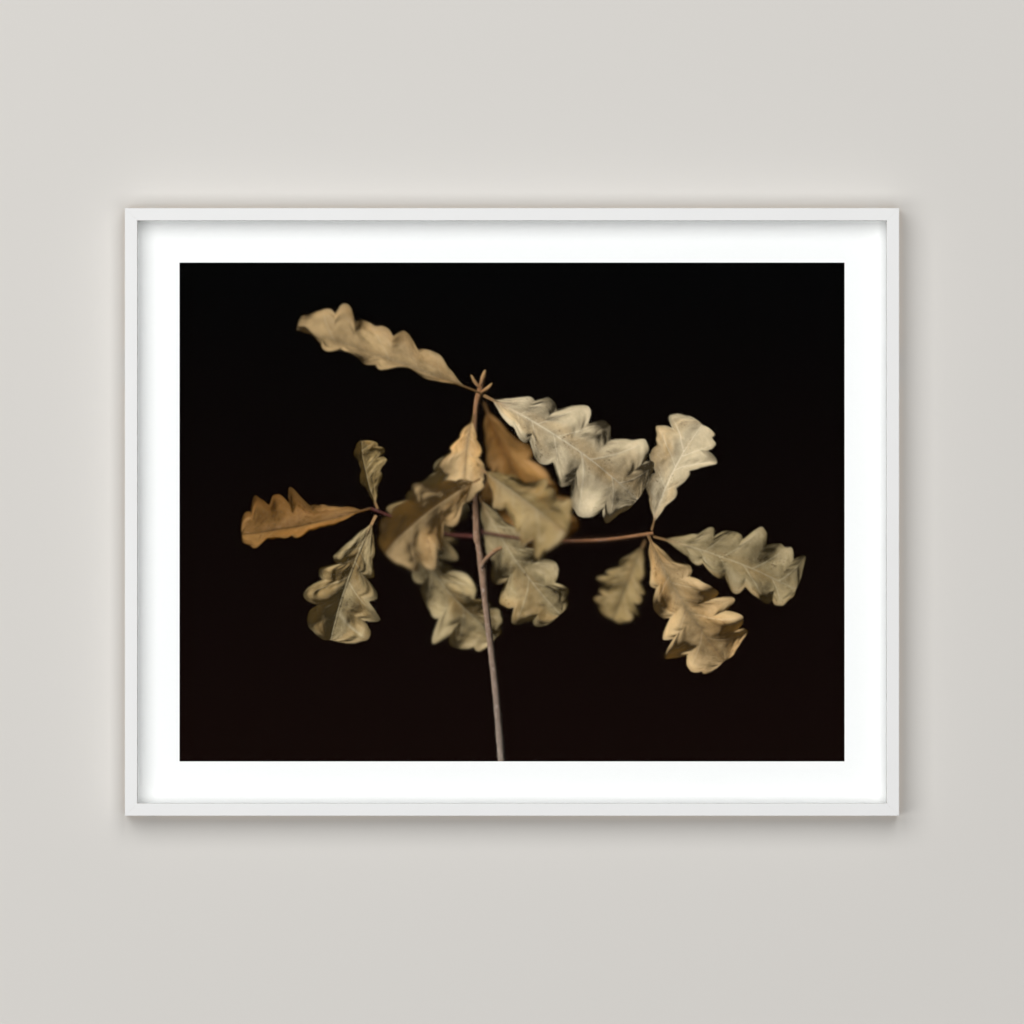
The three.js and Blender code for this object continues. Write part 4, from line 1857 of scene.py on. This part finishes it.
@dataclass
class Hanger:
    """A strap with a rolled loop, and the D-ring that swings in it."""

    side: str
    thickness: float = 1 * MM
    neck: float = 5.5 * MM
    shoulder: float = 5 * MM
    loop_outer: float = 2.25 * MM
    end_radius: float = 4 * MM
    roll_degrees: float = 292.0
    edge_round: float = 0.22 * MM
    hole_radius: float = 1.6 * MM
    wire: float = 1 * MM
    half_bar: float = 3.1 * MM
    bend: float = 1.4 * MM
    ring_side: float = 4.5 * MM
    ring_steps: int = 144
    wire_sides: int = 18

    def centre(self) -> Vector:
        """The loop's middle."""
        low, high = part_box(f"strap_{self.side}")
        return Vector(((low.x + high.x) / 2, low.y + self.loop_outer, high.z - self.loop_outer))

    def strap_stations(self, width: float, length: float) -> list[tuple[float, float, float, float]]:
        """The strip's way from its lower end up and round the loop.

        Args:
            width: The strap's full width.
            length: From the loop's middle to the lower end.

        Returns:
            For each station its y, z, width and slope in radians, from the loop's middle.
        """
        mean = self.loop_outer - self.thickness / 2
        found = []
        for share in np.linspace(0, 1, 9):
            rise = self.end_radius * (1 - math.cos(share * math.pi / 2))
            cut = self.end_radius - math.sqrt(max(0.0, self.end_radius**2 - (self.end_radius - rise) ** 2))
            found.append((-mean, -length + rise, width - 2 * cut, 0.0))
        start, stop = -length + self.end_radius, -self.loop_outer - self.shoulder / 2
        found += [(-mean, z, width, 0.0) for z in np.linspace(start, stop, 6)[1:]]
        for share in np.linspace(0, 1, 7)[1:]:
            ease = share * share * (3 - 2 * share)
            found.append((-mean, stop + share * self.shoulder / 2, width + (self.neck - width) * ease, 0.0))
        found += [(-mean, z, self.neck, 0.0) for z in np.linspace(-self.loop_outer, 0, 4)[1:]]
        for angle in np.linspace(0, math.radians(self.roll_degrees), 40)[1:]:
            found.append((-mean * math.cos(angle), mean * math.sin(angle), self.neck, angle))
        return found

    def strap(self) -> bpy.types.Object:
        """The strap, with slightly rounded edges and its two screw holes.

        Returns:
            The strap.
        """
        low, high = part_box(f"strap_{self.side}")
        middle = self.centre()
        rows = []
        for y, z, width, slope in self.strap_stations(high.x - low.x, middle.z - low.z):
            w, t = width / 2, self.thickness / 2
            outline = rounded_corners([(-w, -t), (w, -t), (w, t), (-w, t)], [self.edge_round] * 4, 3)
            away_y, away_z = math.cos(slope), -math.sin(slope)
            ys, zs = y + outline[:, 1] * away_y, z + outline[:, 1] * away_z
            rows.append(np.column_stack([middle.x + outline[:, 0], middle.y + ys, middle.z + zs]))
        obj = mesh_object(f"hanger_strap_{self.side}", *skin(np.array(rows), closed=False))
        cutter = self.screw_holes(low, high)
        cut_away(obj, cutter)
        bpy.data.objects.remove(cutter)
        return weigh_normals(obj, sharp_angle=42.0)

    def screw_holes(self, low: Vector, high: Vector) -> bpy.types.Object:
        """The cutter for the strap's screw holes.

        Args:
            low: The lowest corner of the strap's box.
            high: Its highest corner.

        Returns:
            The cutter.
        """
        work = bmesh.new()
        sizes = {"radius1": self.hole_radius, "radius2": self.hole_radius, "depth": (high.y - low.y) * 2 / 3}
        for i in (1, 2):
            place = centre_of(f"screw_{self.side}_{i}")
            place.y = low.y + self.thickness / 2
            turn = Matrix.Translation(place) @ FACING_FRONT
            bmesh.ops.create_cone(work, cap_ends=True, segments=32, matrix=turn, **sizes)
        return from_bmesh("screw_holes", work)

    def ring_line(self) -> Array:
        """The D-ring's centre line in X and Z: a bar, two bends, two sides and a half circle.

        Returns:
            Evenly spaced points from the loop's middle.
        """
        reach = self.half_bar + self.bend
        arc = np.linspace(0, 1, 24) * math.pi / 2
        bend_x, bend_z = self.half_bar + self.bend * np.sin(arc), self.bend * (1 - np.cos(arc))
        top_x, top_z = reach * np.cos(arc), self.ring_side + reach * np.sin(arc)
        half_x = np.concatenate([[0.0], bend_x, top_x])
        half_z = np.concatenate([[0.0], bend_z, top_z])
        xs = np.concatenate([half_x, -half_x[-2:0:-1]])
        zs = np.concatenate([half_z, half_z[-2:0:-1]])
        closed = np.column_stack([np.append(xs, xs[0]), np.append(zs, zs[0])])
        run = np.concatenate([[0], np.cumsum(np.linalg.norm(np.diff(closed, axis=0), axis=1))])
        even = np.linspace(0, run[-1], self.ring_steps, endpoint=False)
        return np.column_stack([np.interp(even, run, closed[:, i]) for i in (0, 1)])

    def ring(self) -> bpy.types.Object:
        """The D-ring, bent from round wire.

        Returns:
            The ring.
        """
        middle = self.centre()
        line = self.ring_line()
        ahead = np.roll(line, -1, 0) - np.roll(line, 1, 0)
        ahead /= np.linalg.norm(ahead, axis=1, keepdims=True)
        angles = np.linspace(0, math.tau, self.wire_sides, endpoint=False)
        out, off = self.wire * np.cos(angles), self.wire * np.sin(angles)
        rows = [
            np.column_stack([middle.x + x - dz * out, middle.y + off, middle.z + z + dx * out])
            for (x, z), (dx, dz) in zip(line, ahead)
        ]
        obj = mesh_object(f"d_ring_{self.side}", *skin(np.array(rows), closed=True))
        obj.data.shade_smooth()
        return obj

    def build(self) -> None:
        """Make the strap on the frame and the ring on its own body."""
        place_piece(self.strap(), Finishes.ZINC, ROOT, [f"strap_{self.side}"])
        place_piece(self.ring(), Finishes.ZINC, f"ring_{self.side}", [f"ring_{self.side}"])


@dataclass
class Glazing:
    """The glass and the fillets that hold the print away from it."""

    arris: float = 0.35 * MM
    card_edge: float = 0.3 * MM
    flat_share: float = 0.9

    def glass(self) -> None:
        """Clear faces and ground edges."""
        pane = soft_box("glass_pane", *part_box("glass"), self.arris)
        for finish in (Finishes.GLASS, Finishes.GLASS_EDGE):
            pane.data.materials.append(finish.material())
        for face in pane.data.polygons:
            face.material_index = 0 if abs(face.normal.y) > self.flat_share else 1
        place_piece(pane, Finishes.GLASS, ROOT, ["glass"])

    def fillets(self) -> None:
        """The four strips of white card."""
        for edge in Edge:
            node = f"spacer_{edge.label}"
            strip = soft_box(f"fillet_{edge.label}", *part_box(node), self.card_edge)
            place_piece(strip, Finishes.CARD, ROOT, [node])

    def build(self) -> None:
        """Make the glass and the fillets."""
        self.glass()
        self.fillets()


@dataclass
class Boards:
    """What is behind the print: the tape hinges, the mount board and the backing board."""

    mount_edge: float = 0.2 * MM
    backing_edge: float = 0.4 * MM

    def build(self) -> None:
        """Make the two boards, and dress the tapes, which stay as they are."""
        mount = soft_box("mounting_board", *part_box("mount_board"), self.mount_edge)
        place_piece(mount, Finishes.MOUNT, ROOT, ["mount_board"])
        backing = soft_box("backing_panel", *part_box("backing_board"), self.backing_edge)
        place_piece(backing, Finishes.BACKING, ROOT, ["backing_board"])
        for side in ("left", "right"):
            dress_node(f"hinge_tape_{side}", Finishes.TAPE)


@dataclass
class Print:
    """The sheet with the picture: its mesh is fine where the picture is busy and coarse elsewhere.

    `budget` is how many points the picture may have, and `busy` is how much its lightness may vary
    inside a block before the block is divided. The rest are lengths in millimetres or shares.
    """

    picture: StillLife
    cell: float = 0.5
    quick_cell: float = 1.0
    budget: int = 88_000
    coarse: int = 8
    busy: float = 0.012
    rim_step: float = 12.0
    edge_step: float = 4.0
    edge_gap: float = 0.06
    back_step: float = 60.0
    back_strip: float = 0.03
    bare_paper: float = 0.975

    def blocks(self, tone: Array, cell: float) -> Array:
        """Where the mesh needs points.

        Args:
            tone: The picture's lightness on its grid.
            cell: The grid's cell in millimetres.

        Returns:
            Points in millimetres from the picture's lower left corner.
        """
        found = []
        size = self.coarse
        open_blocks = np.ones([n // round(size / cell) for n in tone.shape], bool)
        while True:
            spread = self.spread(tone, round(size / cell))
            split = open_blocks & (spread > self.busy)
            if size == 2:
                room = (self.budget - sum(map(len, found)) - int(open_blocks.sum())) // 3
                if split.sum() > room:
                    split &= spread >= np.sort(spread[split])[-room]
            if size == 1:
                split[:] = False
            rows, columns = np.nonzero(open_blocks & ~split)
            found.append(np.column_stack([columns + 0.5, rows + 0.5]) * size)
            if size == 1:
                return np.vstack(found)
            open_blocks = split.repeat(2, 0).repeat(2, 1)
            size //= 2

    def spread(self, tone: Array, cells: int) -> Array:
        """How much the lightness varies inside each block of so many cells.

        Args:
            tone: The picture's lightness.
            cells: How many cells wide and high a block is.

        Returns:
            The difference between each block's lightest and darkest cell.
        """
        if cells == 1:
            return np.zeros(tone.shape)
        high, wide = tone.shape
        blocks = tone.reshape(high // cells, cells, wide // cells, cells)
        return blocks.max((1, 3)) - blocks.min((1, 3))

    def loop(self, half: Sequence[float], step: float) -> Array:
        """Points round a rectangle about the middle, the corners among them.

        Args:
            half: Half of its width and height.
            step: About how far apart the points are.

        Returns:
            The points in order.
        """
        points = []
        corners = [(-half[0], -half[1]), (half[0], -half[1]), tuple(half), (-half[0], half[1])]
        for start, stop in zip(corners, corners[1:] + corners[:1]):
            count = max(1, round(math.dist(start, stop) / step))
            points += [np.array(start) + (np.array(stop) - start) * i / count for i in range(count)]
        return np.array(points)

    def front(self, half: tuple[float, float], cell: float) -> tuple[Array, Array, list, int]:
        """The front face in millimetres about the middle.

        Args:
            half: Half of the sheet's width and height.
            cell: The painter's cell.

        Returns:
            The points, their colours, the faces, and how many of the first points are the rim.
        """
        canvas = self.picture.painted(cell).astype(np.float32)
        tone = held(canvas.mean(-1)) ** 0.45
        middle = np.array([PICTURE_WIDTH, PICTURE_HEIGHT]) / 2
        rim = self.loop(half, self.rim_step)
        margin = self.loop((np.array(half) + middle) / 2, self.rim_step)
        outer = self.loop(middle + self.edge_gap, self.edge_step)
        inner = self.loop(middle - self.edge_gap, self.edge_step)
        busy = self.blocks(tone, cell) - middle
        points = np.vstack([rim, margin, outer, inner, busy])
        bare = len(rim) + len(margin) + len(outer)
        inside = self.sampled(canvas, np.vstack([inner, busy]) + middle, cell)
        colours = np.vstack([np.full((bare, 3), self.bare_paper), inside])
        loops = [(0, len(rim)), (bare - len(outer), len(outer)), (bare, len(inner))]
        fixed = [(a + i, a + (i + 1) % n) for a, n in loops for i in range(n)]
        return points, colours, triangulated(points, fixed), len(rim)

    def sampled(self, canvas: Array, places: Array, cell: float) -> Array:
        """The picture's colour at each place.

        Args:
            canvas: The picture.
            places: The places, in millimetres from its lower left corner.
            cell: The width of its cells.

        Returns:
            The colours.
        """
        high, wide = canvas.shape[:2]
        x = np.clip(places[:, 0] / cell - 0.5, 0, wide - 1.001)
        z = np.clip(places[:, 1] / cell - 0.5, 0, high - 1.001)
        i, j = x.astype(int), z.astype(int)
        fx, fz = (x - i)[:, None], (z - j)[:, None]
        lower = canvas[j, i] * (1 - fx) + canvas[j, i + 1] * fx
        upper = canvas[j + 1, i] * (1 - fx) + canvas[j + 1, i + 1] * fx
        return held(lower * (1 - fz) + upper * fz)

    def build(self) -> None:
        """Make the sheet: the front, a coarse back, and the thin edge between them."""
        low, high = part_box("print")
        half = ((high.x - low.x) / 2 / MM, (high.z - low.z) / 2 / MM)
        points, colours, faces, rim = self.front(half, self.cell)
        across, up = (np.arange(-h + self.back_step, h - self.back_step / 2, self.back_step) for h in half)
        back = np.vstack([points[:rim], [(x, z) for x in across for z in up]])
        back_faces = triangulated(back, [(i, (i + 1) % rim) for i in range(rim)])
        count = len(points)
        around = [(i, count + i, count + (i + 1) % rim, (i + 1) % rim) for i in range(rim)]
        whole = faces + [tuple(count + i for i in face[::-1]) for face in back_faces] + around
        sheet = [
            np.column_stack([flat[:, 0] * MM, np.full(len(flat), level), flat[:, 1] * MM])
            for flat, level in ((points, low.y), (back, high.y))
        ]
        obj = mesh_object("picture_sheet", np.vstack(sheet), whole)
        self.colour(obj, np.vstack([colours, np.full((len(back), 3), self.bare_paper)]))
        self.unwrap(obj, half)
        place_piece(obj, Finishes.PAPER, ROOT, ["print"])

    def colour(self, obj: bpy.types.Object, colours: Array) -> None:
        """Lay the picture's colours on the mesh's points."""
        layer = obj.data.color_attributes.new(Finishes.PAPER.attribute, "FLOAT_COLOR", "POINT")
        opaque = np.column_stack([colours, np.ones(len(colours))])
        layer.data.foreach_set("color", opaque.astype(np.float32).ravel())

    def unwrap(self, obj: bpy.types.Object, half: tuple[float, float]) -> None:
        """Give the front nearly the whole map, and the back and the edge a strip at the top.

        Args:
            obj: The sheet.
            half: Half of its width and height in millimetres.
        """
        mesh = obj.data
        layer = mesh.uv_layers.new(name="OFBake")
        corner = read_all(mesh.loops, "vertex_index", 1, np.int32)[:, 0]
        totals = read_all(mesh.polygons, "loop_total", 1, np.int32)[:, 0]
        places = read_all(mesh.vertices, "co", 3, np.float32)[corner] / MM
        facing = np.repeat(read_all(mesh.polygons, "normal", 3, np.float32)[:, 1], totals)
        u, v = places[:, 0] / half[0] / 2 + 0.5, places[:, 2] / half[1] / 2 + 0.5
        depth = (places[:, 1] - places[:, 1].min()) / np.ptp(places[:, 1])
        strip = self.back_strip
        # The strip has the back in its left half and the edge, unrolled, in its right half.
        front = np.column_stack([u, v * (1 - 2 * strip)])
        back = np.column_stack([u * 0.5, 1 - strip + v * strip * 0.9])
        turn = (np.arctan2(v - 0.5, u - 0.5) / math.tau) % 1.0
        edge = np.column_stack([0.52 + turn * 0.46, 1 - strip + depth * strip * 0.4])
        behind = np.where((facing > 0.5)[:, None], back, edge)
        chosen = np.where((facing < -0.5)[:, None], front, behind)
        layer.data.foreach_set("uv", held(chosen).astype(np.float32).ravel())


def read_all(items: bpy.types.bpy_prop_collection, attribute: str, width: int, kind: type) -> Array:
    """One attribute of a mesh's vertices, loops or polygons, a row of so many numbers for each."""
    values = np.empty(len(items) * width, kind)
    items.foreach_get(attribute, values)
    return values.reshape(-1, width)


def triangulated(points: Array, edges: Sequence[tuple[int, int]]) -> list[tuple[int, ...]]:
    """Triangles over flat points, with some edges kept, in the order of the points given."""
    flat = [Vector(map(float, p)) for p in points]
    _, _, faces, origins, _, _ = delaunay_2d_cdt(flat, list(edges), [], 0, SAME_POINT)
    return [tuple(origins[i][0] for i in face) for face in faces]


# -------------------- the room


@dataclass
class Room:
    """The wall, the floor, the soft light and the camera: none of it is part of the object.

    `wide` and `narrow` say where a soft box begins and ends to one side of an axis, over its
    distance. `quarter_light` is the light of one box at the middle of the wall, and `lean` is how
    much more of it comes from the upper left.
    """

    wall_colour: Colour = (0.601, 0.582, 0.552)
    floor_colour: Colour = (0.62, 0.61, 0.59)
    sky_colour: Colour = (1.0, 0.995, 0.985)
    wall_size: tuple[float, float] = (16.0, 9.0)
    wall_gap: float = 0.15 * MM
    floor_drop: float = 1.4
    texture: float = 0.05 * MM
    lens: float = 400.0
    view_width: float = 1.2296
    light_distance: float = 9.0
    wide: tuple[float, float] = (0.14, 1.04)
    narrow: tuple[float, float] = (0.05, 0.46)
    quarter_light: float = 0.273
    lean: float = 0.30
    back_power: float = 46.0
    back_size: tuple[float, float] = (1.5, 1.5)
    sky: float = 0.62

    def build(self) -> None:
        """Make the room."""
        self.camera()
        self.wall()
        self.floor()
        self.lights()
        self.world()

    def camera(self) -> None:
        """A long lens, straight on, level with the middle of the frame."""
        data = bpy.data.cameras.new("camera")
        data.lens = self.lens
        data.clip_end = 100.0
        camera = bpy.data.objects.new("camera", data)
        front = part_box("rail_top")[0].y
        distance = self.view_width * self.lens / data.sensor_width
        camera.location = (0.0, front - distance, 0.0)
        camera.rotation_euler = (math.pi / 2, 0.0, 0.0)
        bpy.context.scene.collection.objects.link(camera)
        bpy.context.scene.camera = camera

    def plane(self, name: str, corners: Array, colour: Colour, grain: float) -> bpy.types.Object:
        """A stage plane that shows on one side only and stops no light.

        Args:
            name: Its name.
            corners: Its corners, anticlockwise from the side that shows.
            colour: Its colour.
            grain: The scale of its faint texture.

        Returns:
            The object.
        """
        mesh = bpy.data.meshes.new(name)
        mesh.from_pydata(list(corners), [], [(0, 1, 2, 3)])
        material, graph, place = blank_material(name)
        rough = graph.noise(place, grain, 4.0)
        bump = graph.add("ShaderNodeBump", {"Height": rough, "Distance": self.texture}).outputs[0]
        shown = graph.add("ShaderNodeBsdfDiffuse", {"Color": with_alpha(colour), "Normal": bump}).outputs[0]
        hidden = graph.add("ShaderNodeBsdfTransparent").outputs[0]
        behind = graph.add("ShaderNodeNewGeometry").outputs["Backfacing"]
        mixed = graph.add("ShaderNodeMixShader", {0: behind, 1: shown, 2: hidden}).outputs[0]
        graph.add("ShaderNodeOutputMaterial", {"Surface": mixed})
        mesh.materials.append(material)
        obj = plain_object(name, mesh)
        obj.visible_shadow = False
        return obj

    def wall(self) -> None:
        """The wall behind the frame."""
        half, foot, top = self.wall_size[0] / 2, -self.floor_drop, self.wall_size[1] - self.floor_drop
        ends = [(-half, foot), (half, foot), (half, top), (-half, top)]
        self.plane("wall", [(x, self.wall_gap, z) for x, z in ends], self.wall_colour, 160.0)

    def floor(self) -> None:
        """The floor below, which throws no light on the rest."""
        half, front = self.wall_size[0] / 2, -self.light_distance / 2
        ends = [(-half, front), (half, front), (half, half), (-half, half)]
        floor = self.plane("floor", [(x, y, -self.floor_drop) for x, y in ends], self.floor_colour, 90.0)
        floor.visible_diffuse = False

    def area_light(
        self, name: str, place: Vector, aim: Vector, size: tuple[float, float], power: float
    ) -> bpy.types.Object:
        """A soft light that the camera doesn't see.

        Args:
            name: Its name.
            place: Its middle.
            aim: The point that it faces.
            size: Its width and height.
            power: Its power in watts.

        Returns:
            The light.
        """
        data = bpy.data.lights.new(name, "AREA")
        data.shape, data.energy = "RECTANGLE", power
        data.size, data.size_y = size
        light = bpy.data.objects.new(name, data)
        light.location = place
        light.rotation_euler = (aim - place).to_track_quat("-Z", "Y").to_euler()
        light.visible_camera = False
        bpy.context.scene.collection.objects.link(light)
        return light

    def lights(self) -> None:
        """Four soft boxes in front, one to each side of both of the frame's axes, and two lights behind.

        The boxes reach far to the left and up, and a little to the right and down, so the shadows
        are wide inside the left and top edges. The light leans a little towards the upper left.
        """
        distance = self.light_distance
        for side_x, (near_x, far_x) in ((-1, self.wide), (1, self.narrow)):
            for side_z, (near_z, far_z) in ((1, self.wide), (-1, self.narrow)):
                size = ((far_x - near_x) * distance, (far_z - near_z) * distance)
                across, up = side_x * (far_x + near_x) / 2, side_z * (far_z + near_z) / 2
                place = Vector((across * distance, -distance, up * distance))
                share = self.quarter_light * (1 + self.lean * (side_z - side_x) / 2)
                seen = corner_share(far_x, far_z) + corner_share(near_x, near_z)
                seen -= corner_share(near_x, far_z) + corner_share(far_x, near_z)
                power = share / seen * math.pi * size[0] * size[1]
                aim = place + Vector((0, 1, 0))
                box = self.area_light(f"box_{side_x}_{side_z}", place, aim, size, power)
                box.visible_glossy = False
        for name, place in (("back_left", (-1.6, 2.4, 1.4)), ("back_right", (1.9, 2.4, 0.5))):
            self.area_light(name, Vector(place), Vector((0, 0, 0)), self.back_size, self.back_power)

    def world(self) -> None:
        """An even pale sky for mirrors and for the view past the wall, which lights nothing matt."""
        world = bpy.data.worlds.new("sky")
        world.use_nodes = True
        graph = Graph(world.node_tree)
        matt = graph.add("ShaderNodeLightPath").outputs["Is Diffuse Ray"]
        strength = graph.blended(matt, self.sky, 0.0)
        feeds = {"Color": with_alpha(self.sky_colour), "Strength": strength}
        sky = graph.add("ShaderNodeBackground", feeds).outputs[0]
        graph.add("ShaderNodeOutputWorld", {"Surface": sky})
        scene = bpy.context.scene
        scene.world = world
        scene.view_settings.view_transform = "Standard"
        scene.view_settings.look = "None"


def corner_share(across: float, up: float) -> float:
    """How much of its view a point sees filled by a rectangle that faces it, with a corner on its axis.

    Args:
        across: The rectangle's width over its distance.
        up: Its height over its distance.

    Returns:
        The share, weighted by the cosine as a matt surface sees it.
    """
    total = 0.0
    for a, b in ((across, up), (up, across)):
        slant = math.sqrt(1 + a * a)
        total += a / slant * math.atan(b / slant)
    return total / math.tau


def main() -> None:
    """Build the framed print and the room round it."""
    logging.basicConfig(level=logging.INFO, format="%(name)s: %(message)s")
    Room().build()
    nails = CornerNails()
    Moulding().build(nails)
    nails.build()
    Glazing().build()
    Print(oak_sprig()).build()
    Boards().build()
    BackTabs().build()
    WallPads().build()
    HangerScrews().build()
    for side in ("left", "right"):
        Hanger(side).build()


if __name__ == "__main__":
    main()
